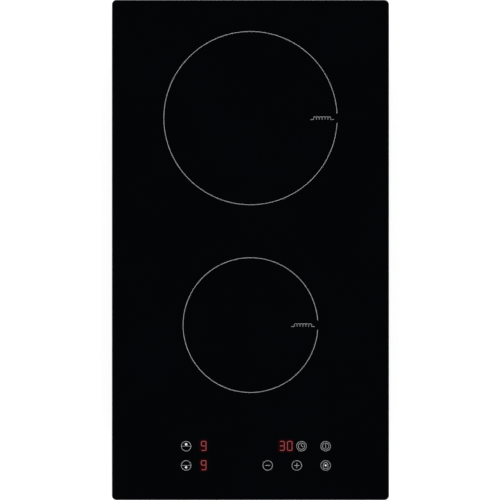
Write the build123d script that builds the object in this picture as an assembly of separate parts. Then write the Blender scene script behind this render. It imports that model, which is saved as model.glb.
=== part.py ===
"""Built-in induction hob with two cooking zones, drawn as an assembly of separate pieces.

Millimetres. +X is the user's right, +Y points to the rear of the worktop and +Z is up.
The origin is under the middle of the hob, on the surface that its tray stands on.
"""
from build123d import *
import math
import os

# Glass plate and the steel tray under it
GLASS_WIDTH = 288.0
GLASS_DEPTH = 520.0
GLASS_THICKNESS = 4.0
GLASS_CORNER_RADIUS = 5.0
GLASS_BEVEL = 0.8
RIM_OVERHANG = 15.0
SHEET = 1.0
CASE_CORNER_RADIUS = 6.0
BEND_RADIUS = 2.0
SEAL_WIDTH = 8.0
SEAL_THICKNESS = 2.0
SEAL_INSET = 2.0
RAIL_FLANGE = 10.0
RAIL_HEIGHT = 14.0
RAIL_CORNER_GAP = 14.0
RAIL_SPACING = 2.0
BOND_THICKNESS = 1.0
BOND_INSET = 1.0

# Height of the stack from the floor of the tray up to the glass
CHAMBER_HEIGHT = 35.0
CHAMBER_CLEARANCE = 4.0
COIL_PLATE_THICKNESS = 1.5
FERRITE_DROP = 2.9
FERRITE_HEIGHT = 5.0
CARRIER_THICKNESS = 3.0
COIL_GAP = 0.2
COIL_WIRE = 2.4
MICA_THICKNESS = 0.8

# Cooking zones: printed diameters, and centres measured from the nearer edge of the glass
REAR_ZONE_DIAMETER = 180.0
FRONT_ZONE_DIAMETER = 140.0
REAR_ZONE_FROM_EDGE = 123.0
FRONT_ZONE_FROM_EDGE = 182.0
WINDING_INSET = 6.0
WINDING_INNER_RADIUS = 24.0
WINDING_PITCH = 3.0
WINDING_BEND = 3.6
CARRIER_MARGIN = 6.0
CARRIER_RIM = 3.0
FERRITE_COUNT = 8
FERRITE_WIDTH = 12.0
FERRITE_INSET = 4.0
FERRITE_RIB = 1.5
FERRITE_CLEARANCE = 0.3
CARRIER_LEG_RADIUS = 5.0
CARRIER_LEG_INSET = 10.0
CARRIER_LEG_ANGLES = (0.0, 135.0, 225.0)
SENSOR_RADIUS = 6.0
SENSOR_FLANGE = 2.0
SENSOR_FLANGE_HEIGHT = 1.1
SENSOR_DROP = 2.4
SENSOR_PAD_INSET = 1.0
HUB_WALL = 2.8
HUB_DROP = 2.0
MICA_HOLE_MARGIN = 2.0
COIL_PLATE_SIDE_GAP = 6.0
COIL_PLATE_MARGIN = 4.0
PLATE_CENTRE_HOLE = 12.0
LEAD_HOLE_MARGIN = 1.8

# Screws, posts and floor pockets
SCREW_RADIUS = 2.0
SCREW_HEAD_RADIUS = 3.8
SCREW_HEAD_HEIGHT = 2.2
SCREW_RECESS_WIDTH = 0.9
SCREW_RECESS_LENGTH = 4.4
SCREW_RECESS_DEPTH = 1.3
SCREW_HOLE_CLEARANCE = 0.25
THREAD_CLEARANCE = 0.05
SCREW_BITE = 3.0
POCKET_DEPTH = 2.6
POCKET_RADIUS = 6.0
POST_RADIUS = 4.0
POST_FROM_WALL = 12.0
POST_END_INSET = 8.0
CASE_SCREW_INSET = 45.0
CASE_SCREW_DROP = 7.0
CASE_SCREW_LENGTH = 4.0
END_SCREW_SPACING = 140.0

# Air slots and beads of the tray
FRONT_SLOT_COUNT = 14
FRONT_SLOT_WIDTH = 4.0
FRONT_SLOT_HEIGHT = 22.0
FRONT_SLOT_PITCH = 12.0
FRONT_SLOT_Z = 22.0
FLOOR_SLOT_COUNT = 10
FLOOR_SLOT_WIDTH = 4.0
FLOOR_SLOT_LENGTH = 30.0
FLOOR_SLOT_PITCH = 11.0
GRILLE_HUB_RADIUS = 12.0
GRILLE_SLOT = 5.0
GRILLE_BAR = 3.5
GRILLE_RINGS = 3
BEAD_FROM_BRACKET = 20.0
BEAD_HEIGHT = 9.0
BEAD_DEPTH = 1.0
BEAD_Z = 18.0

# Clamp brackets on the side walls
BRACKET_FROM_END = 95.0
BRACKET_WIDTH = 24.0
BRACKET_SHEET = 1.5
BRACKET_CLEARANCE = 0.2
BRACKET_REACH = 13.8
BRACKET_BEND = 1.5
BRACKET_CORNER_RADIUS = 3.0
BRACKET_TOP_MARGIN = 4.0
BRACKET_TRAVEL = 8.0
BRACKET_SCREW_Z = 24.0
BRACKET_SCREW_LENGTH = 8.0
WORKTOP_THICKNESS = 40.0
SLOT_CLEARANCE = 0.3
NUT_THICKNESS = 3.2
NUT_WIDTH = 7.0

# Cooling fan
FAN_SIZE = 80.0
FAN_HEIGHT = 25.0
FAN_POST_GAP = 2.0
FAN_FROM_REAR = 34.0
FAN_WALL = 1.5
FAN_CORNER_RADIUS = 5.0
FAN_HOLE_INSET = 4.25
FAN_TIP_CLEARANCE = 1.2
FAN_HUB_RADIUS = 18.0
FAN_HUB_WALL = 1.5
FAN_FLOOR_CLEARANCE = 2.0
FAN_BASE_THICKNESS = 3.0
FAN_BASE_CLEARANCE = 1.5
FAN_STRUT_WIDTH = 4.0
FAN_STRUT_COUNT = 4
FAN_SHAFT_RADIUS = 1.5
FAN_BEARING_WALL = 1.5
FAN_TUBE_WALL = 1.5
FAN_RUNNING_CLEARANCE = 0.05
FAN_AIR_GAP = 1.0
FAN_MAGNET_THICKNESS = 2.0
FAN_STATOR_CLEARANCE = 1.5
FAN_BLADE_COUNT = 7
FAN_BLADE_THICKNESS = 1.5
FAN_BLADE_CAMBER_RADIUS = 26.0
FAN_BLADE_CHORD = 21.0
FAN_BLADE_PITCH = 42.0
FAN_BLADE_ROOT = 0.8

# Power board and what stands on it
BOARD_FROM_POST = 9.0
BOARD_THICKNESS = 1.6
BOARD_LIFT = 7.4
BOARD_FAN_GAP = 30.0
BOARD_CONTROL_GAP = 20.0
BOARD_SCREW_INSET = 8.0
FILM_THICKNESS = 0.5
FILM_INSET = 3.0
HEATSINK_WIDTH = 56.0
HEATSINK_LENGTH = 130.0
HEATSINK_BASE = 5.0
HEATSINK_FIN = 1.8
HEATSINK_WALL = 4.0
HEATSINK_FIN_COUNT = 8
HEATSINK_FROM_SIDE = 16.0
HEATSINK_FROM_REAR = 20.0
TRANSISTOR_WIDTH = 16.0
TRANSISTOR_HEIGHT = 16.0
TRANSISTOR_THICKNESS = 5.0
TRANSISTOR_PITCH = 24.0
TRANSISTOR_COUNT = 4
TRANSISTOR_LIFT = 3.0
TRANSISTOR_LEG = 1.2
RECTIFIER_WIDTH = 24.0
CAPACITOR_LENGTH = 38.0
CAPACITOR_WIDTH = 17.0
CAPACITOR_HEIGHT = 19.0
CAPACITOR_PITCH = 21.0
CAPACITOR_TRANSFORMER_GAP = 20.0
CAPACITOR_FROM_CENTRE = 32.0
CAPACITOR_FROM_REAR = 84.0
CAPACITOR_EDGE = 1.5
ELECTROLYTIC_RADIUS = 6.0
ELECTROLYTIC_HEIGHT = 18.0
ELECTROLYTIC_PITCH = 16.0
ELECTROLYTIC_COUNT = 4
ELECTROLYTIC_FROM_SIDE = 18.0
ELECTROLYTIC_FROM_REAR = 84.0
CHOKE_WIDTH = 44.0
CHOKE_DEPTH = 32.0
CHOKE_LIMB = 9.0
CHOKE_LIFT = 4.0
CHOKE_WINDING = 3.2
CHOKE_CLEARANCE = 0.3
CHOKE_FROM_SIDE = 42.0
CHOKE_FROM_REAR = 46.0
TRANSFORMER_WIDTH = 30.0
TRANSFORMER_DEPTH = 26.0
TRANSFORMER_HEIGHT = 18.0
TRANSFORMER_FROM_SIDE = 48.0
TRANSFORMER_FROM_FRONT = 44.0
SOCKET_HEIGHT = 9.0
SOCKET_WALL = 1.2
SOCKET_DEPTH = 9.0
MAINS_SOCKET_WIDTH = 34.0
MAINS_SOCKET_HEIGHT = 12.0
MAINS_SOCKET_GAP = 4.0
MAINS_SOCKET_FROM_REAR = 10.0
RIBBON_SOCKET_WIDTH = 22.0
SMALL_SOCKET_WIDTH = 11.0
RIBBON_FROM_FRONT = 10.0
RIBBON_X = 30.0
STUD_RADIUS = 4.5
STUD_HEIGHT = 5.0
SLEEVE_RADIUS = 2.2
LEAD_LEVEL = 7.0
LEAD_BEND = 8.0
REAR_STUD_FROM_REAR = 12.0
SENSOR_LEAD_RADIUS = 1.1
SENSOR_SOCKET_FROM_REAR = 24.0
SENSOR_SOCKET_GAP = 3.5

# Controls under the front of the glass
ROW_FROM_FRONT = 35.9
ROW_SPACING = 20.2
SELECTOR_X = -66.7
LEVEL_DIGIT_X = -48.2
MINUS_X = 17.8
TIMER_DIGITS_X = 37.5
PLUS_X = 48.0
TIMER_X = 53.2
POWER_X = 78.25
CONTROL_BOARD_MARGIN = 14.0
CONTROL_BOARD_THICKNESS = 1.6
CONTROL_CARRIER_FLOOR = 2.0
CONTROL_CARRIER_WALL = 1.5
CONTROL_CARRIER_CLEARANCE = 0.3
CONTROL_CARRIER_LIP = 1.0
CONTROL_LEG_RADIUS = 5.0
CONTROL_LEG_INSET = 7.0
SPRING_HEIGHT = 10.0
SPRING_RADIUS = 4.2
SPRING_WIRE = 0.8
SPRING_TURNS = 4
SPRING_CLEARANCE = 0.1
DIGIT_WIDTH = 9.0
DIGIT_DEPTH = 14.0
DIGIT_GAP = 0.5
DIGIT_POCKET = 0.6
DIGIT_RIM = 1.0
RIBBON_WIDTH = 18.0
RIBBON_THICKNESS = 1.2
RIBBON_BEND = 5.0
RIBBON_FROM_EDGE = 9.0

# Mains terminals in the rear right corner
TERMINAL_BOX_WIDTH = 80.0
TERMINAL_BOX_DEPTH = 56.0
TERMINAL_BOX_HEIGHT = 30.0
TERMINAL_BOX_WALL = 2.0
TERMINAL_BOX_FROM_SIDE = 8.0
TERMINAL_TAB_WIDTH = 14.0
TERMINAL_TAB_DEPTH = 14.0
TERMINAL_TAB_THICKNESS = 3.0
COVER_OPENING_INSET = 2.0
COVER_REAR_INSET = 6.0
COVER_CLEARANCE = 0.4
COVER_THICKNESS = 1.6
COVER_FLOOR_GAP = 0.3
COVER_RIB = 1.6
COVER_RIB_HEIGHT = 2.5
COVER_RIB_INSET = 8.0
COVER_NOTCH = 12.0
HINGE_SETBACK = 3.0
HINGE_HEIGHT = 2.4
HINGE_BARREL_RADIUS = 1.9
HINGE_PIN_RADIUS = 1.0
HINGE_CLEARANCE = 0.05
HINGE_EAR_LENGTH = 6.0
HINGE_SIDE_CLEARANCE = 0.5
HINGE_EAR_HEIGHT = 4.4
BLOCK_WAYS = 5
BLOCK_PITCH = 11.0
BLOCK_DEPTH = 20.0
BLOCK_HEIGHT = 13.0
BLOCK_FROM_FRONT = 12.0
BLOCK_WIRE_RADIUS = 2.0
CLAMP_SCREW_RADIUS = 2.4
CLAMP_SCREW_DEPTH = 3.0
CABLE_RADIUS = 5.0
GROMMET_WALL = 2.5
GROMMET_FLANGE = 2.0
GROMMET_FLANGE_LENGTH = 2.2
GROMMET_CLEARANCE = 0.1
CABLE_Z = 12.0
MAINS_WIRE_RADIUS = 1.7
MAINS_WIRE_CLEARANCE = 0.6
EARTH_FROM_BOX = 26.0

# Places that follow from the sizes above
HALF_CASE_X = GLASS_WIDTH / 2 - RIM_OVERHANG
HALF_CASE_Y = GLASS_DEPTH / 2 - RIM_OVERHANG
INSIDE_X = HALF_CASE_X - SHEET
INSIDE_Y = HALF_CASE_Y - SHEET
PLATE_Z = SHEET + CHAMBER_HEIGHT
FERRITE_Z = PLATE_Z + COIL_PLATE_THICKNESS + FERRITE_DROP
CARRIER_Z = FERRITE_Z + FERRITE_HEIGHT
WINDING_Z = CARRIER_Z + CARRIER_THICKNESS + COIL_GAP + COIL_WIRE / 2
MICA_Z = WINDING_Z + COIL_WIRE / 2 + COIL_GAP
GLASS_Z = MICA_Z + MICA_THICKNESS
RAIL_TOP = GLASS_Z - BOND_THICKNESS
TRAY_TOP = RAIL_TOP - SHEET
SEAL_Z = GLASS_Z - SEAL_THICKNESS
POCKET_TOP = POCKET_DEPTH + SHEET
BOARD_Z = POCKET_TOP + BOARD_LIFT
BOARD_TOP = BOARD_Z + BOARD_THICKNESS

REAR_ZONE_Y = GLASS_DEPTH / 2 - REAR_ZONE_FROM_EDGE
FRONT_ZONE_Y = -GLASS_DEPTH / 2 + FRONT_ZONE_FROM_EDGE
FRONT_ROW_Y = -GLASS_DEPTH / 2 + ROW_FROM_FRONT
REAR_ROW_Y = FRONT_ROW_Y + ROW_SPACING


def winding_turns(zone_diameter):
    """Whole turns of wire that fit under a printed zone."""
    outer = zone_diameter / 2 - WINDING_INSET
    return int((outer - WINDING_INNER_RADIUS) / WINDING_PITCH)


def winding_radius(zone_diameter):
    """Radius of the last turn of a zone's coil."""
    return WINDING_INNER_RADIUS + winding_turns(zone_diameter) * WINDING_PITCH


def carrier_radius(zone_diameter):
    """Outer radius of the moulded disc that carries a coil."""
    return winding_radius(zone_diameter) + CARRIER_MARGIN


ZONES = ((REAR_ZONE_Y, REAR_ZONE_DIAMETER), (FRONT_ZONE_Y, FRONT_ZONE_DIAMETER))

POST_X = INSIDE_X - POST_FROM_WALL
FAN_X = -POST_X + POCKET_RADIUS + SHEET + FAN_POST_GAP + FAN_SIZE / 2
FAN_Y = INSIDE_Y - FAN_FROM_REAR - FAN_SIZE / 2
FAN_BORE = FAN_SIZE / 2 - FAN_WALL
FAN_TIP = FAN_BORE - FAN_TIP_CLEARANCE
FAN_TOP = SHEET + FAN_HEIGHT

BOX_RIGHT = INSIDE_X - TERMINAL_BOX_FROM_SIDE
BOX_LEFT = BOX_RIGHT - TERMINAL_BOX_WIDTH
BOX_FRONT = INSIDE_Y - TERMINAL_BOX_DEPTH
BOX_MIDDLE = (BOX_LEFT + BOX_RIGHT) / 2
BOX_TOP = SHEET + TERMINAL_BOX_HEIGHT
OPEN_LEFT = BOX_LEFT + TERMINAL_BOX_WALL + COVER_OPENING_INSET
OPEN_RIGHT = BOX_RIGHT - TERMINAL_BOX_WALL - COVER_OPENING_INSET
OPEN_FRONT = BOX_FRONT + TERMINAL_BOX_WALL
OPEN_REAR = INSIDE_Y - COVER_REAR_INSET
HINGE_Y = OPEN_FRONT + HINGE_SETBACK

CONTROL_LEFT = SELECTOR_X - CONTROL_BOARD_MARGIN
CONTROL_RIGHT = POWER_X + CONTROL_BOARD_MARGIN
CONTROL_FRONT = FRONT_ROW_Y - CONTROL_BOARD_MARGIN
CONTROL_REAR = REAR_ROW_Y + CONTROL_BOARD_MARGIN
CONTROL_TOP = GLASS_Z - SPRING_HEIGHT
CONTROL_Z = CONTROL_TOP - CONTROL_BOARD_THICKNESS
CONTROL_CARRIER_Z = CONTROL_Z - CONTROL_CARRIER_FLOOR

BOARD_RIGHT = POST_X - POST_RADIUS - BOARD_FROM_POST
BOARD_LEFT = -BOARD_RIGHT
BOARD_REAR = FAN_Y - FAN_SIZE / 2 - BOARD_FAN_GAP
BOARD_FRONT = CONTROL_REAR + BOARD_CONTROL_GAP
BOARD_MIDDLE = (BOARD_REAR + BOARD_FRONT) / 2
HEATSINK_LEFT = BOARD_LEFT + HEATSINK_FROM_SIDE
HEATSINK_RIGHT = HEATSINK_LEFT + HEATSINK_WIDTH
HEATSINK_REAR = BOARD_REAR - HEATSINK_FROM_REAR
HEATSINK_TOP = PLATE_Z - CHAMBER_CLEARANCE

PLATE_REAR = REAR_ZONE_Y + carrier_radius(REAR_ZONE_DIAMETER) + COIL_PLATE_MARGIN
PLATE_FRONT = FRONT_ZONE_Y - carrier_radius(FRONT_ZONE_DIAMETER) - COIL_PLATE_MARGIN
HALF_PLATE_X = INSIDE_X - COIL_PLATE_SIDE_GAP
POST_ROWS = (
    PLATE_FRONT + POST_END_INSET,
    (REAR_ZONE_Y + FRONT_ZONE_Y) / 2,
    BOX_FRONT - POST_END_INSET,
)
POST_POINTS = [(side * POST_X, y) for side in (-1, 1) for y in POST_ROWS]
STANDOFF_POINTS = [
    (side * (BOARD_RIGHT - BOARD_SCREW_INSET), y)
    for side in (-1, 1)
    for y in (BOARD_FRONT + BOARD_SCREW_INSET, BOARD_MIDDLE, BOARD_REAR - BOARD_SCREW_INSET)
]
CONTROL_LEG_POINTS = [
    (x, y)
    for x in (CONTROL_LEFT + CONTROL_LEG_INSET, CONTROL_RIGHT - CONTROL_LEG_INSET)
    for y in (CONTROL_FRONT + CONTROL_LEG_INSET, CONTROL_REAR - CONTROL_LEG_INSET)
]
TAB_POINTS = [
    (x, BOX_FRONT - TERMINAL_TAB_DEPTH / 2)
    for x in (BOX_LEFT + TERMINAL_TAB_WIDTH / 2, BOX_RIGHT - 2 * TERMINAL_TAB_WIDTH)
]
FLOOR_SCREW_POINTS = POST_POINTS + STANDOFF_POINTS + CONTROL_LEG_POINTS + TAB_POINTS
FAN_SCREW_POINTS = [
    (FAN_X + sx * (FAN_SIZE / 2 - FAN_HOLE_INSET), FAN_Y + sy * (FAN_SIZE / 2 - FAN_HOLE_INSET))
    for sx in (-1, 1)
    for sy in (-1, 1)
]
BRACKET_Y = HALF_CASE_Y - BRACKET_FROM_END
BEAD_LENGTH = 2 * (BRACKET_Y - BRACKET_WIDTH / 2 - BEAD_FROM_BRACKET)
BRACKET_POINTS = {
    "front_left": (-1, -BRACKET_Y),
    "front_right": (1, -BRACKET_Y),
    "rear_left": (-1, BRACKET_Y),
    "rear_right": (1, BRACKET_Y),
}
SIDE_SCREW_ROWS = (-HALF_CASE_Y + CASE_SCREW_INSET, 0.0, HALF_CASE_Y - CASE_SCREW_INSET)
END_SCREW_COLUMNS = (-END_SCREW_SPACING / 2, END_SCREW_SPACING / 2)
CASE_SCREW_Z = RAIL_TOP - CASE_SCREW_DROP
EARTH_POINT = (BOX_MIDDLE + 2 * BLOCK_PITCH, BOX_FRONT - EARTH_FROM_BOX)
TOUCH_POINTS = [
    (SELECTOR_X, REAR_ROW_Y),
    (SELECTOR_X, FRONT_ROW_Y),
    (TIMER_X, REAR_ROW_Y),
    (POWER_X, REAR_ROW_Y),
    (MINUS_X, FRONT_ROW_Y),
    (PLUS_X, FRONT_ROW_Y),
    (POWER_X, FRONT_ROW_Y),
]

SCREW_HOLE = SCREW_RADIUS + SCREW_HOLE_CLEARANCE
SCREW_THREAD = SCREW_RADIUS + THREAD_CLEARANCE


def between(x0, x1, y0, y1, z0, z1):
    """A box given by its limits along X, Y and Z."""
    middle = Pos((x0 + x1) / 2, (y0 + y1) / 2, (z0 + z1) / 2)
    return middle * Box(x1 - x0, y1 - y0, z1 - z0)


def upright(x, y, z0, z1, radius):
    """A vertical cylinder."""
    base = (Align.CENTER, Align.CENTER, Align.MIN)
    return Pos(x, y, z0) * Cylinder(radius, z1 - z0, align=base)


def ring(x, y, z0, z1, outer, inner):
    """A vertical tube."""
    return upright(x, y, z0, z1, outer) - upright(x, y, z0, z1, inner)


def along_x(x0, x1, y, z, radius):
    """A cylinder that lies along X."""
    return Pos((x0 + x1) / 2, y, z) * Rot(0, 90, 0) * Cylinder(radius, x1 - x0)


def along_y(x, y0, y1, z, radius):
    """A cylinder that lies along Y."""
    return Pos(x, (y0 + y1) / 2, z) * Rot(90, 0, 0) * Cylinder(radius, y1 - y0)


def slab(width, depth, radius, z0, z1):
    """A plate with rounded corners, centred on the origin."""
    return extrude(Pos(0, 0, z0) * RectangleRounded(width, depth, radius), amount=z1 - z0)


def tube(path, radius):
    """A round wire swept along a path."""
    section = Plane(origin=path @ 0, z_dir=path % 0) * Circle(radius)
    return sweep(section, path=path)


def routed(points, bends, radius):
    """A wire of straight runs joined by tangent bends."""
    return tube(Wire(FilletPolyline(*points, radius=bends).edges()), radius)


def screw(length):
    """A pan-head screw that points down, with the underside of its head at the origin."""
    head = upright(0, 0, 0, SCREW_HEAD_HEIGHT, SCREW_HEAD_RADIUS)
    head = fillet(head.edges().sort_by(Axis.Z)[-1], SCREW_HEAD_HEIGHT / 3)
    floor = SCREW_HEAD_HEIGHT - SCREW_RECESS_DEPTH
    half_length = SCREW_RECESS_LENGTH / 2
    half_width = SCREW_RECESS_WIDTH / 2
    head -= between(-half_length, half_length, -half_width, half_width, floor, SCREW_HEAD_HEIGHT)
    head -= between(-half_width, half_width, -half_length, half_length, floor, SCREW_HEAD_HEIGHT)
    return head + upright(0, 0, -length, 0, SCREW_RADIUS)


def mirrored_x(shape, side):
    """The shape itself on the right, or its mirror image on the left."""
    return shape if side > 0 else shape.mirror(Plane.YZ)


def make_glass():
    plate = slab(GLASS_WIDTH, GLASS_DEPTH, GLASS_CORNER_RADIUS, GLASS_Z, GLASS_Z + GLASS_THICKNESS)
    return chamfer(plate.faces().sort_by(Axis.Z)[-1].edges(), GLASS_BEVEL)


def make_seal():
    width = GLASS_WIDTH - 2 * SEAL_INSET
    depth = GLASS_DEPTH - 2 * SEAL_INSET
    outer = slab(width, depth, GLASS_CORNER_RADIUS, SEAL_Z, GLASS_Z)
    inner_width = width - 2 * SEAL_WIDTH
    inner_depth = depth - 2 * SEAL_WIDTH
    return outer - slab(inner_width, inner_depth, GLASS_CORNER_RADIUS, SEAL_Z, GLASS_Z)


def make_rails():
    """Four angle rails: two along the sides, two along the ends."""
    low = RAIL_TOP - RAIL_HEIGHT
    half_y = INSIDE_Y - RAIL_CORNER_GAP
    half_x = INSIDE_X - RAIL_FLANGE - RAIL_SPACING
    rails = []
    for side in (-1, 1):
        rail = between(INSIDE_X - SHEET, INSIDE_X, -half_y, half_y, low, RAIL_TOP)
        rail += between(INSIDE_X - RAIL_FLANGE, INSIDE_X, -half_y, half_y, TRAY_TOP, RAIL_TOP)
        rail -= [
            along_x(INSIDE_X - SHEET, INSIDE_X, y, CASE_SCREW_Z, SCREW_THREAD) for y in SIDE_SCREW_ROWS
        ]
        rails.append(mirrored_x(rail, side))
    for side in (-1, 1):
        rail = between(-half_x, half_x, INSIDE_Y - SHEET, INSIDE_Y, low, RAIL_TOP)
        rail += between(-half_x, half_x, INSIDE_Y - RAIL_FLANGE, INSIDE_Y, TRAY_TOP, RAIL_TOP)
        rail -= [
            along_y(x, INSIDE_Y - SHEET, INSIDE_Y, CASE_SCREW_Z, SCREW_THREAD) for x in END_SCREW_COLUMNS
        ]
        rails.append(rail if side > 0 else rail.mirror(Plane.XZ))
    return rails


def make_bond():
    """Strips of silicone between the rails and the glass."""
    half_y = INSIDE_Y - RAIL_CORNER_GAP - BOND_INSET
    half_x = INSIDE_X - RAIL_FLANGE - RAIL_SPACING - BOND_INSET
    near = RAIL_FLANGE - BOND_INSET
    strips = []
    for side in (-1, 1):
        side_x = between(INSIDE_X - near, INSIDE_X - BOND_INSET, -half_y, half_y, RAIL_TOP, GLASS_Z)
        strips.append(mirrored_x(side_x, side))
        side_y = between(-half_x, half_x, INSIDE_Y - near, INSIDE_Y - BOND_INSET, RAIL_TOP, GLASS_Z)
        strips.append(side_y if side > 0 else side_y.mirror(Plane.XZ))
    return strips


def tray_body():
    """The folded pan before its holes: floor, four walls, beads and screw pockets."""
    pan = slab(2 * HALF_CASE_X, 2 * HALF_CASE_Y, CASE_CORNER_RADIUS, 0, TRAY_TOP)
    pan = fillet(pan.faces().sort_by(Axis.Z)[0].edges(), BEND_RADIUS)
    hollow = slab(2 * INSIDE_X, 2 * INSIDE_Y, CASE_CORNER_RADIUS - SHEET, SHEET, TRAY_TOP + SHEET)
    hollow = fillet(hollow.faces().sort_by(Axis.Z)[0].edges(), BEND_RADIUS - SHEET)
    pan -= hollow
    pan += [upright(x, y, 0, POCKET_TOP, POCKET_RADIUS + SHEET) for x, y in FLOOR_SCREW_POINTS]
    for side in (-1, 1):
        wall = Plane(origin=(side * INSIDE_X, 0, BEAD_Z), x_dir=(0, 1, 0), z_dir=(side, 0, 0))
        pan += extrude(wall * SlotOverall(BEAD_LENGTH, BEAD_HEIGHT), amount=SHEET + BEAD_DEPTH)
        hollow_bead = SlotOverall(BEAD_LENGTH - 2 * SHEET, BEAD_HEIGHT - 2 * SHEET)
        pan -= extrude(wall * hollow_bead, amount=BEAD_DEPTH)
    return pan


def grille_cuts():
    """Ring slots in the floor under the fan, crossed by four bars."""
    cuts = []
    step = GRILLE_SLOT + GRILLE_BAR
    reach = GRILLE_HUB_RADIUS + GRILLE_RINGS * step
    bars = Rectangle(2 * reach, GRILLE_BAR) + Rectangle(GRILLE_BAR, 2 * reach)
    for index in range(GRILLE_RINGS):
        inner = GRILLE_HUB_RADIUS + index * step
        slots = Circle(inner + GRILLE_SLOT) - Circle(inner) - bars
        cuts.append(extrude(Pos(FAN_X, FAN_Y, 0) * Rot(0, 0, 45) * slots, amount=SHEET))
    return cuts


def make_tray():
    tray = tray_body()
    cuts = grille_cuts()
    cuts += [upright(x, y, 0, POCKET_DEPTH, POCKET_RADIUS) for x, y in FLOOR_SCREW_POINTS]
    cuts += [upright(x, y, 0, POCKET_TOP, SCREW_HOLE) for x, y in FLOOR_SCREW_POINTS]
    cuts += [upright(x, y, 0, SHEET, SCREW_THREAD) for x, y in FAN_SCREW_POINTS + [EARTH_POINT]]
    cuts.append(between(OPEN_LEFT, OPEN_RIGHT, OPEN_FRONT, OPEN_REAR, 0, SHEET))
    cuts.append(along_y(BOX_MIDDLE, INSIDE_Y, HALF_CASE_Y, CABLE_Z, CABLE_RADIUS + GROMMET_WALL))
    for index in range(FRONT_SLOT_COUNT):
        x = (index - (FRONT_SLOT_COUNT - 1) / 2) * FRONT_SLOT_PITCH
        wall = Plane(origin=(x, -HALF_CASE_Y, FRONT_SLOT_Z), x_dir=(0, 0, 1), z_dir=(0, 1, 0))
        cuts.append(extrude(wall * SlotOverall(FRONT_SLOT_HEIGHT, FRONT_SLOT_WIDTH), amount=SHEET))
    for index in range(FLOOR_SLOT_COUNT):
        x = (index - (FLOOR_SLOT_COUNT - 1) / 2) * FLOOR_SLOT_PITCH
        slot = Pos(x, (FRONT_ROW_Y + REAR_ROW_Y) / 2, 0) * Rot(0, 0, 90)
        cuts.append(extrude(slot * SlotOverall(FLOOR_SLOT_LENGTH, FLOOR_SLOT_WIDTH), amount=SHEET))
    for side in (-1, 1):
        outer = HALF_CASE_X + BEAD_DEPTH
        for y in SIDE_SCREW_ROWS:
            cuts.append(mirrored_x(along_x(INSIDE_X, outer, y, CASE_SCREW_Z, SCREW_HOLE), side))
        for x in END_SCREW_COLUMNS:
            hole = along_y(x, INSIDE_Y, HALF_CASE_Y, CASE_SCREW_Z, SCREW_HOLE)
            cuts.append(hole if side > 0 else hole.mirror(Plane.XZ))
    for side, y in BRACKET_POINTS.values():
        hole = along_x(INSIDE_X, HALF_CASE_X, y, BRACKET_SCREW_Z, SCREW_HOLE)
        cuts.append(mirrored_x(hole, side))
    return tray - cuts


def make_case_screws():
    """Screws through the walls of the tray into the rails."""
    screws = []
    for side in (-1, 1):
        for y in SIDE_SCREW_ROWS:
            placed = Pos(HALF_CASE_X, y, CASE_SCREW_Z) * Rot(0, 90, 0) * screw(CASE_SCREW_LENGTH)
            screws.append(mirrored_x(placed, side))
        for x in END_SCREW_COLUMNS:
            placed = Pos(x, HALF_CASE_Y, CASE_SCREW_Z) * Rot(-90, 0, 0) * screw(CASE_SCREW_LENGTH)
            screws.append(placed if side > 0 else placed.mirror(Plane.XZ))
    return screws


def make_floor_screws():
    """Screws in the floor pockets, into the posts, standoffs, control legs and terminal tabs."""
    upward = Rot(180, 0, 0) * screw(SHEET + SCREW_BITE)
    return [Pos(x, y, POCKET_DEPTH) * upward for x, y in FLOOR_SCREW_POINTS]


def bracket_face():
    """X of the bracket's inner face, just clear of the wall of the tray."""
    return HALF_CASE_X + BRACKET_CLEARANCE


def make_bracket(side, y):
    """A clamp bracket: a slotted leg on the wall and a foot that takes hold under the worktop."""
    foot_top = SEAL_Z - WORKTOP_THICKNESS
    foot_low = foot_top - BRACKET_SHEET
    leg_top = BRACKET_SCREW_Z + BRACKET_TRAVEL + SCREW_HOLE + SLOT_CLEARANCE + BRACKET_TOP_MARGIN
    x0 = bracket_face()
    x1 = x0 + BRACKET_SHEET
    tip = x0 + BRACKET_REACH
    half = BRACKET_WIDTH / 2
    bracket = between(x0, x1, -half, half, foot_low, leg_top)
    bracket += between(x0, tip, -half, half, foot_low, foot_top)
    bend = bracket.edges().filter_by(Axis.Y).sort_by_distance((x1, 0, foot_top))[0]
    bracket = fillet(bend, BRACKET_BEND)
    heel = bracket.edges().filter_by(Axis.Y).sort_by_distance((x0, 0, foot_low))[0]
    bracket = fillet(heel, BRACKET_BEND + BRACKET_SHEET)
    foot_edges = bracket.edges().filter_by(Axis.Z).group_by(Axis.X)[-1]
    bracket = fillet(foot_edges, BRACKET_CORNER_RADIUS)
    leg_edges = bracket.edges().filter_by(Axis.X).group_by(Axis.Z)[-1]
    bracket = fillet(leg_edges, BRACKET_CORNER_RADIUS)
    slot_width = 2 * (SCREW_RADIUS + SLOT_CLEARANCE)
    wall = Plane(origin=(x0, 0, BRACKET_SCREW_Z), x_dir=(0, 0, 1), z_dir=(1, 0, 0))
    slot = SlotOverall(2 * BRACKET_TRAVEL + slot_width + SLOT_CLEARANCE, slot_width)
    bracket -= extrude(wall * slot, amount=BRACKET_SHEET)
    return mirrored_x(Pos(0, y, 0) * bracket, side)


def make_bracket_screws():
    """Screws that hold the brackets by their slots."""
    seat = bracket_face() + BRACKET_SHEET + BRACKET_CLEARANCE
    screws = []
    for side, y in BRACKET_POINTS.values():
        placed = Pos(seat, y, BRACKET_SCREW_Z) * Rot(0, 90, 0) * screw(BRACKET_SCREW_LENGTH)
        screws.append(mirrored_x(placed, side))
    return screws


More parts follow.
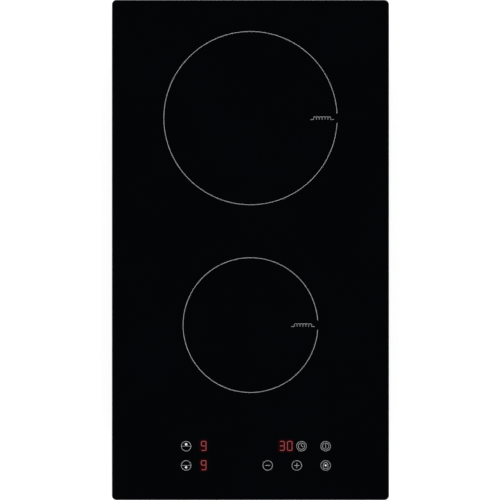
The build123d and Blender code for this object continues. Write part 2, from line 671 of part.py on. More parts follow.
def make_bracket_nuts():
    """Weld nuts inside the walls, behind the bracket screws."""
    nuts = []
    for side, y in BRACKET_POINTS.values():
        wall = Plane(origin=(INSIDE_X, y, BRACKET_SCREW_Z), x_dir=(0, 1, 0), z_dir=(-1, 0, 0))
        outline = RegularPolygon(NUT_WIDTH / 2, 6, major_radius=False) - Circle(SCREW_THREAD)
        nuts.append(mirrored_x(extrude(wall * outline, amount=NUT_THICKNESS), side))
    return nuts


def make_coil_plate():
    """The aluminium sheet under both coils, with holes for leads, sensors and screws."""
    outline = between(-HALF_PLATE_X, HALF_PLATE_X, PLATE_FRONT, PLATE_REAR, PLATE_Z,
                      PLATE_Z + COIL_PLATE_THICKNESS)
    outline = fillet(outline.edges().filter_by(Axis.Z), CASE_CORNER_RADIUS)
    top = PLATE_Z + COIL_PLATE_THICKNESS
    cuts = [upright(x, y, PLATE_Z, top, SCREW_HOLE) for x, y in POST_POINTS]
    lead_hole = COIL_WIRE / 2 + LEAD_HOLE_MARGIN
    for zone_y, diameter in ZONES:
        cuts.append(upright(0, zone_y, PLATE_Z, top, PLATE_CENTRE_HOLE))
        cuts += [upright(x, y, PLATE_Z, top, lead_hole) for x, y in tail_points(zone_y, diameter)]
        cuts += [upright(x, y, PLATE_Z, top, SCREW_HOLE) for x, y in carrier_legs(zone_y, diameter)]
    return outline - cuts


def make_posts():
    """Spacers that carry the coil plate over the tray, tapped at both ends."""
    posts = []
    for x, y in POST_POINTS:
        post = upright(x, y, POCKET_TOP, PLATE_Z, POST_RADIUS)
        post -= upright(x, y, POCKET_TOP, POCKET_TOP + SCREW_BITE + SHEET, SCREW_THREAD)
        post -= upright(x, y, PLATE_Z - 2 * SCREW_BITE, PLATE_Z, SCREW_THREAD)
        posts.append(post)
    return posts


def make_plate_screws():
    """Screws down through the plate into the posts, and up through it into the carriers' legs."""
    down = screw(COIL_PLATE_THICKNESS + SCREW_BITE)
    screws = [Pos(x, y, PLATE_Z + COIL_PLATE_THICKNESS) * down for x, y in POST_POINTS]
    upward = Rot(180, 0, 0) * screw(COIL_PLATE_THICKNESS + SCREW_BITE)
    for zone_y, diameter in ZONES:
        screws += [Pos(x, y, PLATE_Z) * upward for x, y in carrier_legs(zone_y, diameter)]
    return screws


def carrier_legs(zone_y, diameter):
    """Centres of the legs under a coil carrier."""
    reach = carrier_radius(diameter) - CARRIER_LEG_INSET
    angles = [math.radians(angle) for angle in CARRIER_LEG_ANGLES]
    return [(reach * math.cos(a), zone_y + reach * math.sin(a)) for a in angles]


def tail_points(zone_y, diameter):
    """Where the two ends of a coil's wire go down: the inner end, then the outer one."""
    inner = (-WINDING_BEND, zone_y - WINDING_INNER_RADIUS)
    outer = (WINDING_BEND, zone_y - winding_radius(diameter))
    return inner, outer


def ferrite_places(zone_y):
    """Placements of the ferrite bars around a zone's centre, clear of the legs and tails."""
    step = 360.0 / FERRITE_COUNT
    return [Pos(0, zone_y, 0) * Rot(0, 0, (index + 0.5) * step) for index in range(FERRITE_COUNT)]


def ferrite_span(diameter):
    """Inner and outer radius that the ferrite bars cover."""
    return WINDING_INNER_RADIUS + FERRITE_INSET, winding_radius(diameter) - FERRITE_INSET


def make_ferrites(zone_y, diameter):
    start, end = ferrite_span(diameter)
    half = FERRITE_WIDTH / 2
    bar = between(start, end, -half, half, FERRITE_Z, CARRIER_Z)
    return [place * bar for place in ferrite_places(zone_y)]


def make_carrier(zone_y, diameter):
    """The moulded disc of a coil: rim, sensor hub, ribs beside the ferrites and three legs."""
    radius = carrier_radius(diameter)
    top = CARRIER_Z + CARRIER_THICKNESS
    hub_bore = SENSOR_RADIUS + COIL_GAP
    carrier = upright(0, zone_y, CARRIER_Z, top, radius)
    carrier += ring(0, zone_y, CARRIER_Z, MICA_Z, radius, radius - CARRIER_RIM)
    carrier += upright(0, zone_y, CARRIER_Z, MICA_Z - HUB_DROP, hub_bore + HUB_WALL)
    start, end = ferrite_span(diameter)
    near = FERRITE_WIDTH / 2 + FERRITE_CLEARANCE
    rib = between(start, end, near, near + FERRITE_RIB, FERRITE_Z, CARRIER_Z)
    for place in ferrite_places(zone_y):
        carrier += [place * rib, place * rib.mirror(Plane.XZ)]
    plate_top = PLATE_Z + COIL_PLATE_THICKNESS
    legs = carrier_legs(zone_y, diameter)
    carrier += [upright(x, y, plate_top, CARRIER_Z, CARRIER_LEG_RADIUS) for x, y in legs]
    cuts = [upright(x, y, plate_top, plate_top + SCREW_BITE + SHEET, SCREW_THREAD) for x, y in legs]
    cuts.append(upright(0, zone_y, CARRIER_Z, MICA_Z, hub_bore))
    tail_slot = SlotCenterToCenter(WINDING_BEND, COIL_WIRE + 2 * FERRITE_CLEARANCE)
    for x, y in tail_points(zone_y, diameter):
        cuts.append(extrude(Pos(x / 2, y, CARRIER_Z) * tail_slot, amount=CARRIER_THICKNESS))
    return carrier - cuts


def winding_path(zone_y, diameter):
    """Path of a coil's wire: up, round in half turns about two centres, and down again."""
    bend = WINDING_BEND
    low = PLATE_Z - 2 * COIL_WIRE
    level = WINDING_Z
    slope = bend * math.sqrt(0.5)
    y = zone_y - WINDING_INNER_RADIUS
    edges = [
        Line((-bend, y, low), (-bend, y, level - bend)),
        ThreePointArc((-bend, y, level - bend), (-slope, y, level - bend + slope), (0, y, level)),
    ]
    for half_turn in range(2 * winding_turns(diameter)):
        radius = WINDING_INNER_RADIUS + half_turn * WINDING_PITCH / 2
        side = 1 if half_turn % 2 == 0 else -1
        centre = zone_y if side > 0 else zone_y - WINDING_PITCH / 2
        end = centre + side * radius
        edges.append(ThreePointArc((0, y, level), (side * radius, centre, level), (0, end, level)))
        y = end
    edges.append(
        ThreePointArc((0, y, level), (slope, y, level - bend + slope), (bend, y, level - bend))
    )
    edges.append(Line((bend, y, level - bend), (bend, y, low)))
    return Wire(edges)


def least_gap(path, thickness, spacing):
    """Smallest clear distance of a wound wire from its own other turns, measured on points."""
    count = int(path.length / spacing)
    points = [path.position_at(index / count) for index in range(count + 1)]
    skip = int(4 * thickness / spacing) + 1
    gap = math.inf
    for index, point in enumerate(points):
        for other in points[index + skip:]:
            gap = min(gap, (other - point).length)
    return gap - thickness


def make_winding(zone_y, diameter, label):
    path = winding_path(zone_y, diameter)
    print(label, "least gap between turns", round(least_gap(path, COIL_WIRE, 8.0), 3))
    wound = tube(path, COIL_WIRE / 2)
    section = math.pi * COIL_WIRE ** 2 / 4
    print(label, "volume over section times length", round(wound.volume / (section * path.length), 5))
    return wound


def make_mica(zone_y, diameter):
    hole = SENSOR_RADIUS + SENSOR_FLANGE + MICA_HOLE_MARGIN
    return ring(0, zone_y, MICA_Z, GLASS_Z, carrier_radius(diameter), hole)


def make_sensors():
    """Temperature sensors that stand in the hubs and touch the glass."""
    sensors = []
    for zone_y, _ in ZONES:
        hub_top = MICA_Z - HUB_DROP
        flange_top = hub_top + SENSOR_FLANGE_HEIGHT
        sensor = upright(0, zone_y, CARRIER_Z - SENSOR_DROP, flange_top, SENSOR_RADIUS)
        sensor += upright(0, zone_y, hub_top, flange_top, SENSOR_RADIUS + SENSOR_FLANGE)
        sensor += upright(0, zone_y, flange_top, GLASS_Z, SENSOR_RADIUS - SENSOR_PAD_INSET)
        sensors.append(sensor)
    return sensors


def make_fan_frame():
    """The square fan housing, open below, with the motor base and its struts on top."""
    half = FAN_SIZE / 2
    frame = between(-half, half, -half, half, SHEET, FAN_TOP)
    frame = fillet(frame.edges().filter_by(Axis.Z), FAN_CORNER_RADIUS)
    frame -= upright(0, 0, SHEET, FAN_TOP, FAN_BORE)
    base_low = FAN_TOP - FAN_BASE_THICKNESS
    strut = between(0, FAN_BORE + FAN_WALL / 2, -FAN_STRUT_WIDTH / 2, FAN_STRUT_WIDTH / 2, base_low, FAN_TOP)
    step = 360.0 / FAN_STRUT_COUNT
    frame += [Rot(0, 0, (index + 0.5) * step) * strut for index in range(FAN_STRUT_COUNT)]
    frame += upright(0, 0, base_low, FAN_TOP, FAN_HUB_RADIUS)
    bearing = FAN_SHAFT_RADIUS + FAN_RUNNING_CLEARANCE + FAN_BEARING_WALL
    tube_low = fan_hub_floor() + FAN_BASE_CLEARANCE
    frame += upright(0, 0, tube_low, base_low, bearing + FAN_TUBE_WALL)
    frame -= upright(0, 0, tube_low, base_low, bearing)
    frame = Pos(FAN_X, FAN_Y, 0) * frame
    return frame - [upright(x, y, SHEET, FAN_TOP, SCREW_HOLE) for x, y in FAN_SCREW_POINTS]


def fan_hub_floor():
    """Inner face of the closed end of the fan's hub."""
    return SHEET + FAN_FLOOR_CLEARANCE + FAN_HUB_WALL


def fan_hub_top():
    """Open upper rim of the fan's hub."""
    return FAN_TOP - FAN_BASE_THICKNESS - FAN_BASE_CLEARANCE


def magnet_inner():
    """Inner radius of the magnet ring in the hub."""
    return FAN_HUB_RADIUS - FAN_HUB_WALL - FAN_MAGNET_THICKNESS


def make_fan_bearing():
    inner = FAN_SHAFT_RADIUS + FAN_RUNNING_CLEARANCE
    low = fan_hub_floor() + FAN_BASE_CLEARANCE
    return ring(FAN_X, FAN_Y, low, FAN_TOP - FAN_BASE_THICKNESS, inner + FAN_BEARING_WALL, inner)


def make_fan_stator():
    """Four-pole iron core around the bearing tube."""
    bearing = FAN_SHAFT_RADIUS + FAN_RUNNING_CLEARANCE + FAN_BEARING_WALL
    inner = bearing + FAN_TUBE_WALL
    outer = magnet_inner() - FAN_AIR_GAP
    slot_radius = (outer - inner) / 3
    outline = Circle(outer) - Circle(inner)
    for index in range(4):
        slot = Pos((inner + outer) / 2, 0) * Circle(slot_radius)
        mouth = Pos(outer, 0) * Rectangle(outer - inner, slot_radius / 2)
        outline -= Rot(0, 0, 90 * index + 45) * (slot + mouth)
    low = fan_hub_floor() + FAN_STATOR_CLEARANCE
    core = extrude(Pos(0, 0, low) * outline, amount=FAN_TOP - FAN_BASE_THICKNESS - low)
    return Pos(FAN_X, FAN_Y, 0) * core


def make_fan_blade():
    """One cambered blade, cut from a curved strip that runs outward from the hub."""
    low = SHEET + FAN_FLOOR_CLEARANCE
    middle = (low + fan_hub_top()) / 2
    outer = FAN_BLADE_CAMBER_RADIUS + FAN_BLADE_THICKNESS / 2
    strip = Circle(outer) - Circle(outer - FAN_BLADE_THICKNESS)
    strip &= Pos(0, outer) * Rectangle(FAN_BLADE_CHORD, outer)
    lifted = Rot(0, 0, FAN_BLADE_PITCH) * Pos(0, -FAN_BLADE_CAMBER_RADIUS) * strip
    side = Plane(origin=(0, 0, middle), x_dir=(0, 1, 0), z_dir=(1, 0, 0))
    blade = extrude(side * lifted, amount=FAN_BORE)
    return blade & ring(0, 0, low, fan_hub_top(), FAN_TIP, FAN_HUB_RADIUS - FAN_BLADE_ROOT)


def make_fan_impeller():
    low = SHEET + FAN_FLOOR_CLEARANCE
    hub = upright(0, 0, low, fan_hub_top(), FAN_HUB_RADIUS)
    hub -= upright(0, 0, fan_hub_floor(), fan_hub_top(), FAN_HUB_RADIUS - FAN_HUB_WALL)
    blade = make_fan_blade()
    step = 360.0 / FAN_BLADE_COUNT
    hub += [Rot(0, 0, index * step) * blade for index in range(FAN_BLADE_COUNT)]
    return Pos(FAN_X, FAN_Y, 0) * hub


def make_fan_magnet():
    outer = FAN_HUB_RADIUS - FAN_HUB_WALL
    return ring(FAN_X, FAN_Y, fan_hub_floor(), fan_hub_top(), outer, magnet_inner())


def make_fan_shaft():
    low = fan_hub_floor()
    return upright(FAN_X, FAN_Y, low, FAN_TOP - FAN_BASE_THICKNESS - FAN_BASE_CLEARANCE, FAN_SHAFT_RADIUS)


def make_fan_screws():
    return [Pos(x, y, FAN_TOP) * screw(FAN_TOP) for x, y in FAN_SCREW_POINTS]


def make_film():
    """Insulating film on the floor under the power board."""
    film = between(BOARD_LEFT + FILM_INSET, BOARD_RIGHT - FILM_INSET, BOARD_FRONT + FILM_INSET,
                   BOARD_REAR - FILM_INSET, SHEET, SHEET + FILM_THICKNESS)
    hole = POCKET_RADIUS + SHEET + FILM_THICKNESS
    return film - [upright(x, y, SHEET, SHEET + FILM_THICKNESS, hole) for x, y in STANDOFF_POINTS]


def make_power_board():
    board = between(BOARD_LEFT, BOARD_RIGHT, BOARD_FRONT, BOARD_REAR, BOARD_Z, BOARD_TOP)
    return board - [upright(x, y, BOARD_Z, BOARD_TOP, SCREW_HOLE) for x, y in STANDOFF_POINTS]


def make_standoffs():
    standoffs = []
    for x, y in STANDOFF_POINTS:
        post = upright(x, y, POCKET_TOP, BOARD_Z, POST_RADIUS)
        standoffs.append(post - upright(x, y, POCKET_TOP, BOARD_Z, SCREW_THREAD))
    return standoffs


def make_board_screws():
    return [Pos(x, y, BOARD_TOP) * screw(BOARD_THICKNESS + SCREW_BITE) for x, y in STANDOFF_POINTS]


def make_heatsink():
    """Extruded heatsink: base, thin fins and one thick wall for the transistors."""
    front = HEATSINK_REAR - HEATSINK_LENGTH
    sink = between(HEATSINK_LEFT, HEATSINK_RIGHT, front, HEATSINK_REAR, BOARD_TOP, BOARD_TOP + HEATSINK_BASE)
    sink += between(HEATSINK_RIGHT - HEATSINK_WALL, HEATSINK_RIGHT, front, HEATSINK_REAR, BOARD_TOP, HEATSINK_TOP)
    pitch = (HEATSINK_WIDTH - HEATSINK_WALL) / HEATSINK_FIN_COUNT
    for index in range(HEATSINK_FIN_COUNT):
        x = HEATSINK_LEFT + index * pitch
        sink += between(x, x + HEATSINK_FIN, front, HEATSINK_REAR, BOARD_TOP, HEATSINK_TOP)
    return sink


def make_semiconductors():
    """Four power transistors and a wider bridge rectifier, upright against the heatsink."""
    parts = []
    low = BOARD_TOP + TRANSISTOR_LIFT
    y = HEATSINK_REAR
    widths = [RECTIFIER_WIDTH] + [TRANSISTOR_WIDTH] * TRANSISTOR_COUNT
    for width in widths:
        y -= (TRANSISTOR_PITCH - TRANSISTOR_WIDTH) / 2 + width / 2
        x1 = HEATSINK_RIGHT + TRANSISTOR_THICKNESS
        body = between(HEATSINK_RIGHT, x1, y - width / 2, y + width / 2, low, low + TRANSISTOR_HEIGHT)
        x = (HEATSINK_RIGHT + x1) / 2
        for offset in (-1, 0, 1):
            leg_y = y + offset * width / 3
            half = TRANSISTOR_LEG / 2
            body += between(x - half, x + half, leg_y - half, leg_y + half, BOARD_TOP, low)
        parts.append(body)
        y -= (TRANSISTOR_PITCH - TRANSISTOR_WIDTH) / 2 + width / 2
    return parts


def make_capacitors():
    """Box film capacitors in a row, as many as fit behind the transformer."""
    parts = []
    first = BOARD_REAR - CAPACITOR_FROM_REAR
    last = BOARD_FRONT + TRANSFORMER_FROM_FRONT + TRANSFORMER_DEPTH / 2
    last += CAPACITOR_TRANSFORMER_GAP + CAPACITOR_WIDTH / 2
    for index in range(int((first - last) / CAPACITOR_PITCH) + 1):
        y = first - index * CAPACITOR_PITCH
        half_x = CAPACITOR_LENGTH / 2
        half_y = CAPACITOR_WIDTH / 2
        body = between(CAPACITOR_FROM_CENTRE - half_x, CAPACITOR_FROM_CENTRE + half_x,
                       y - half_y, y + half_y, BOARD_TOP, BOARD_TOP + CAPACITOR_HEIGHT)
        parts.append(fillet(body.edges().filter_by(Axis.Z), CAPACITOR_EDGE))
    return parts


def make_electrolytics():
    parts = []
    for index in range(ELECTROLYTIC_COUNT):
        x = BOARD_RIGHT - ELECTROLYTIC_FROM_SIDE
        y = BOARD_REAR - ELECTROLYTIC_FROM_REAR - index * ELECTROLYTIC_PITCH
        can = upright(x, y, BOARD_TOP, BOARD_TOP + ELECTROLYTIC_HEIGHT, ELECTROLYTIC_RADIUS)
        parts.append(fillet(can.edges().sort_by(Axis.Z)[-1], ELECTROLYTIC_RADIUS / 8))
    return parts


def choke_centre():
    return BOARD_RIGHT - CHOKE_FROM_SIDE, BOARD_REAR - CHOKE_FROM_REAR


def make_choke_core():
    """Rectangular ring core that stands on two feet."""
    x, y = choke_centre()
    half_x = CHOKE_WIDTH / 2
    half_y = CHOKE_DEPTH / 2
    low = BOARD_TOP + CHOKE_LIFT
    core = between(x - half_x, x + half_x, y - half_y, y + half_y, low, low + CHOKE_LIMB)
    core -= between(x - half_x + CHOKE_LIMB, x + half_x - CHOKE_LIMB, y - half_y + CHOKE_LIMB,
                    y + half_y - CHOKE_LIMB, low, low + CHOKE_LIMB)
    for side in (-1, 1):
        foot = x + side * (half_x - CHOKE_LIMB / 2)
        core += between(foot - CHOKE_LIMB / 2, foot + CHOKE_LIMB / 2, y - CHOKE_LIMB / 2, y + CHOKE_LIMB / 2,
                        BOARD_TOP, low)
    return core


def make_choke_windings():
    """Two wound sleeves around the long limbs of the core."""
    x, y = choke_centre()
    half_x = CHOKE_WIDTH / 2 - CHOKE_LIMB - 2 * CHOKE_CLEARANCE
    level = BOARD_TOP + CHOKE_LIFT + CHOKE_LIMB / 2
    near = CHOKE_LIMB / 2 + CHOKE_CLEARANCE
    far = near + CHOKE_WINDING
    sleeves = []
    for side in (-1, 1):
        limb = y + side * (CHOKE_DEPTH - CHOKE_LIMB) / 2
        body = between(x - half_x, x + half_x, limb - far, limb + far, level - far, level + far)
        body = fillet(body.edges().filter_by(Axis.X), CHOKE_WINDING / 2)
        sleeves.append(body - between(x - half_x, x + half_x, limb - near, limb + near, level - near, level + near))
    return sleeves


def make_transformer():
    """Small supply transformer: a core block with its wound bobbin."""
    x = BOARD_RIGHT - TRANSFORMER_FROM_SIDE
    y = BOARD_FRONT + TRANSFORMER_FROM_FRONT
    half_x = TRANSFORMER_WIDTH / 2
    half_y = TRANSFORMER_DEPTH / 2
    top = BOARD_TOP + TRANSFORMER_HEIGHT
    core = between(x - half_x, x + half_x, y - half_y / 2, y + half_y / 2, BOARD_TOP, top)
    bobbin = between(x - half_x / 2, x + half_x / 2, y - half_y, y + half_y, BOARD_TOP, top - half_y / 4)
    return core + fillet(bobbin.edges().filter_by(Axis.Z), half_y / 4)


def ribbon_y():
    return BOARD_FRONT + RIBBON_FROM_FRONT


def socket_body(x, y, width, height):
    """An open-topped wire socket on the power board."""
    half_x = width / 2
    half_y = SOCKET_DEPTH / 2
    top = BOARD_TOP + height
    body = between(x - half_x, x + half_x, y - half_y, y + half_y, BOARD_TOP, top)
    return body - between(x - half_x + SOCKET_WALL, x + half_x - SOCKET_WALL, y - half_y + SOCKET_WALL,
                          y + half_y - SOCKET_WALL, top - height / 2, top)


def mains_socket_centre():
    screw_edge = BOARD_RIGHT - BOARD_SCREW_INSET - SCREW_HEAD_RADIUS
    x = screw_edge - MAINS_SOCKET_GAP - MAINS_SOCKET_WIDTH / 2
    return x, BOARD_REAR - MAINS_SOCKET_FROM_REAR


def fan_socket_centre():
    """The fan's socket stands straight in front of the fan, behind the heatsink."""
    return FAN_X + FAN_SIZE / 4, BOARD_REAR - SOCKET_DEPTH


def sensor_sockets():
    """Centres of the rear and the front sensor's sockets, the rear one beside the rectifier."""
    rear_x = HEATSINK_RIGHT + TRANSISTOR_THICKNESS + SENSOR_SOCKET_GAP + SMALL_SOCKET_WIDTH / 2
    return (rear_x, BOARD_REAR - SENSOR_SOCKET_FROM_REAR), (0.0, FRONT_ZONE_Y)


def make_sockets():
    x, y = mains_socket_centre()
    half = MAINS_SOCKET_WIDTH / 2
    mains = between(x - half, x + half, y - SOCKET_DEPTH / 2, y + SOCKET_DEPTH / 2, BOARD_TOP,
                    BOARD_TOP + MAINS_SOCKET_HEIGHT)
    sockets = [mains, socket_body(RIBBON_X, ribbon_y(), RIBBON_SOCKET_WIDTH, SOCKET_HEIGHT)]
    for x, y in (fan_socket_centre(),) + sensor_sockets():
        sockets.append(socket_body(x, y, SMALL_SOCKET_WIDTH, SOCKET_HEIGHT))
    return sockets


def stud_points():
    """Coil terminals on the power board: rear inner, rear outer, front inner, front outer."""
    rear_inner, rear_outer = tail_points(*ZONES[0])
    front_inner, front_outer = tail_points(*ZONES[1])
    return (rear_inner[0], BOARD_REAR - REAR_STUD_FROM_REAR), rear_outer, front_inner, front_outer


def make_studs():
    return [upright(x, y, BOARD_TOP, BOARD_TOP + STUD_HEIGHT, STUD_RADIUS) for x, y in stud_points()]


def make_coil_leads():
    """Sleeved ends of the coil wires, from under the plate to the terminals."""
    high = PLATE_Z - 2 * COIL_WIRE
    low = BOARD_TOP + STUD_HEIGHT
    start, _ = tail_points(*ZONES[0])
    studs = stud_points()
    level = high - LEAD_LEVEL
    end = studs[0]
    route = [(*start, high), (*start, level), (*end, level), (*end, low)]
    bend = min(LEAD_BEND, high - level, level - low)
    leads = [routed(route, [bend * 0.9, bend * 0.9], SLEEVE_RADIUS)]
    leads += [upright(x, y, low, high, SLEEVE_RADIUS) for x, y in studs[1:]]
    return leads


def make_signal_leads():
    """Leads of the two temperature sensors and of the fan."""
    high = CARRIER_Z - SENSOR_DROP
    level = HEATSINK_TOP - 2 * SENSOR_LEAD_RADIUS
    socket_floor = BOARD_TOP + SOCKET_HEIGHT / 2
    rear_socket, front_socket = sensor_sockets()
    x, y = rear_socket
    mid = (x, (REAR_ZONE_Y + y) / 2, level)
    route = [(0, REAR_ZONE_Y, high), (0, REAR_ZONE_Y, level), mid, (x, y, level), (x, y, socket_floor)]
    rear = routed(route, [LEAD_BEND] * 3, SENSOR_LEAD_RADIUS)
    front = upright(*front_socket, socket_floor, high, SENSOR_LEAD_RADIUS)
    x, y = fan_socket_centre()
    level = FAN_TOP - 2 * SENSOR_LEAD_RADIUS
    route = [(x, FAN_Y - FAN_SIZE / 2, level), (x, y, level), (x, y, socket_floor)]
    fan = routed(route, [min(LEAD_BEND, (level - socket_floor) / 2)], SENSOR_LEAD_RADIUS)
    return [rear, front, fan]


def make_control_carrier():
    """Moulded carrier of the control board: a shallow tray on four legs."""
    gap = CONTROL_CARRIER_CLEARANCE
    wall = gap + CONTROL_CARRIER_WALL
    rim = CONTROL_TOP + CONTROL_CARRIER_LIP
    body = between(CONTROL_LEFT - wall, CONTROL_RIGHT + wall, CONTROL_FRONT - wall, CONTROL_REAR + wall,
                   CONTROL_CARRIER_Z, rim)
    body -= between(CONTROL_LEFT - gap, CONTROL_RIGHT + gap, CONTROL_FRONT - gap, CONTROL_REAR + gap,
                    CONTROL_Z, rim)
    body += [upright(x, y, POCKET_TOP, CONTROL_CARRIER_Z, CONTROL_LEG_RADIUS) for x, y in CONTROL_LEG_POINTS]
    bite = POCKET_TOP + SCREW_BITE + SHEET
    cuts = [upright(x, y, POCKET_TOP, bite, SCREW_THREAD) for x, y in CONTROL_LEG_POINTS]
    half = RIBBON_WIDTH / 2 + gap
    reach = RIBBON_THICKNESS / 2 + gap
    y = CONTROL_REAR - RIBBON_FROM_EDGE
    cuts.append(between(RIBBON_X - half, RIBBON_X + half, y - reach, y + reach, CONTROL_CARRIER_Z, CONTROL_Z))
    return body - cuts


def make_control_board():
    return between(CONTROL_LEFT, CONTROL_RIGHT, CONTROL_FRONT, CONTROL_REAR, CONTROL_Z, CONTROL_TOP)


def biarc(start, start_direction, end, end_direction):
    """Two arcs that join two points and leave and meet them in the given directions."""
    chord = end - start
    total = start_direction + end_direction
    spread = 2 * (1 - start_direction.dot(end_direction))
    along = chord.dot(total)
    reach = (math.sqrt(along * along + spread * chord.dot(chord)) - along) / spread
    joint = (start + end + (start_direction - end_direction) * reach) * 0.5
    direction = ((end - end_direction * reach) - (start + start_direction * reach)).normalized()
    return [
        TangentArc(start, joint, tangent=start_direction),
        TangentArc(joint, end, tangent=direction),
    ]


def spring_path():
    """Path of a touch spring's wire, a quarter turn at a time."""
    low = CONTROL_TOP + SPRING_WIRE / 2 + SPRING_CLEARANCE
    rise = SPRING_HEIGHT - SPRING_WIRE - 2 * SPRING_CLEARANCE
    quarters = 4 * SPRING_TURNS
    points = []
    directions = []
    for index in range(quarters + 1):
        angle = index * math.pi / 2
        points.append(Vector(SPRING_RADIUS * math.cos(angle), SPRING_RADIUS * math.sin(angle),
                             low + rise * index / quarters))
        climb = rise / (SPRING_TURNS * 2 * math.pi)
        directions.append(Vector(-SPRING_RADIUS * math.sin(angle), SPRING_RADIUS * math.cos(angle),
                                 climb).normalized())
    edges = []
    for index in range(quarters):
        edges += biarc(points[index], directions[index], points[index + 1], directions[index + 1])
    return Wire(edges)


def make_springs():
    """Wire springs that carry the touch of a finger from the glass to the control board."""
    path = spring_path()
    print("touch spring least gap between turns", round(least_gap(path, SPRING_WIRE, 0.8), 3))
    spring = tube(path, SPRING_WIRE / 2)
    return [Pos(x, y, 0) * spring for x, y in TOUCH_POINTS]


def make_digits():
    """Lit digit displays: one for each zone's level and one with two digits for the timer."""
    displays = []
    top = GLASS_Z - DIGIT_GAP
    places = ((LEVEL_DIGIT_X, REAR_ROW_Y, 1), (LEVEL_DIGIT_X, FRONT_ROW_Y, 1), (TIMER_DIGITS_X, REAR_ROW_Y, 2))
    for x, y, count in places:
        half_x = count * DIGIT_WIDTH / 2
        half_y = DIGIT_DEPTH / 2
        body = between(x - half_x, x + half_x, y - half_y, y + half_y, CONTROL_TOP, top)
        displays.append(body - between(x - half_x + DIGIT_RIM, x + half_x - DIGIT_RIM, y - half_y + DIGIT_RIM,
                                       y + half_y - DIGIT_RIM, top - DIGIT_POCKET, top))
    return displays


def make_ribbon():
    """Flat cable from the control board down to the power board."""
    start = CONTROL_REAR - RIBBON_FROM_EDGE
    end = ribbon_y()
    socket = BOARD_TOP + SOCKET_HEIGHT / 2
    level = (CONTROL_CARRIER_Z + socket) / 2
    path = FilletPolyline((start, CONTROL_Z), (start, level), (end, level), (end, socket), radius=RIBBON_BEND)
    strip = trace(path, RIBBON_THICKNESS)
    side = Plane(origin=(RIBBON_X - RIBBON_WIDTH / 2, 0, 0), x_dir=(0, 1, 0), z_dir=(1, 0, 0))
    return extrude(side * strip, amount=RIBBON_WIDTH)


def block_columns():
    """X of each way of the terminal block."""
    return [BOX_MIDDLE + (index - (BLOCK_WAYS - 1) / 2) * BLOCK_PITCH for index in range(BLOCK_WAYS)]


def block_limits():
    """Front, rear and underside of the terminal block."""
    front = OPEN_FRONT + BLOCK_FROM_FRONT
    return front, front + BLOCK_DEPTH, BOX_TOP - TERMINAL_BOX_WALL - BLOCK_HEIGHT


def block_wire_z():
    _, _, low = block_limits()
    return low + BLOCK_HEIGHT / 2


def wired_columns():
    """Columns of the block that carry the live, neutral and earth wires."""
    columns = block_columns()
    return columns[1], columns[2], columns[4]


def make_terminal_box():
    """Moulded box over the terminals, open below, with ears for the hinge pin of its cover."""
    wall = TERMINAL_BOX_WALL
    box = between(BOX_LEFT, BOX_RIGHT, BOX_FRONT, INSIDE_Y, SHEET, BOX_TOP)
    rear_edge = box.edges().filter_by(Axis.X).sort_by_distance((BOX_MIDDLE, INSIDE_Y, SHEET))[0]
    box = chamfer(rear_edge, BEND_RADIUS - SHEET)
    box -= between(BOX_LEFT + wall, BOX_RIGHT - wall, OPEN_FRONT, INSIDE_Y - wall, SHEET, BOX_TOP - wall)
    ear_rear = HINGE_Y + HINGE_BARREL_RADIUS
    ear_top = SHEET + HINGE_EAR_HEIGHT
    for x0, x1 in ((BOX_LEFT, OPEN_LEFT), (OPEN_RIGHT, BOX_RIGHT)):
        box += between(x0, x1, BOX_FRONT, ear_rear, SHEET, ear_top)
    for x0, x1 in ((OPEN_LEFT, OPEN_LEFT + HINGE_EAR_LENGTH), (OPEN_RIGHT - HINGE_EAR_LENGTH, OPEN_RIGHT)):
        box += between(x0, x1, BOX_FRONT, HINGE_Y, SHEET, ear_top)
        box += between(x0, x1, HINGE_Y, ear_rear, HINGE_HEIGHT, ear_top)
        box += along_x(x0, x1, HINGE_Y, HINGE_HEIGHT, HINGE_BARREL_RADIUS)
    half = TERMINAL_TAB_WIDTH / 2
    for x, y in TAB_POINTS:
        tab_top = POCKET_TOP + TERMINAL_TAB_THICKNESS
        box += between(x - half, x + half, y - TERMINAL_TAB_DEPTH / 2, BOX_FRONT, POCKET_TOP, tab_top)
        box -= upright(x, y, POCKET_TOP, tab_top, SCREW_THREAD)
    box -= along_x(OPEN_LEFT, OPEN_RIGHT, HINGE_Y, HINGE_HEIGHT, HINGE_PIN_RADIUS + HINGE_CLEARANCE / 2)
    box -= along_y(BOX_MIDDLE, INSIDE_Y - wall, INSIDE_Y, CABLE_Z, CABLE_RADIUS + GROMMET_WALL)
    hole = MAINS_WIRE_RADIUS + MAINS_WIRE_CLEARANCE
    for x in wired_columns():
        box -= along_y(x, BOX_FRONT, OPEN_FRONT, block_wire_z(), hole)
    return box


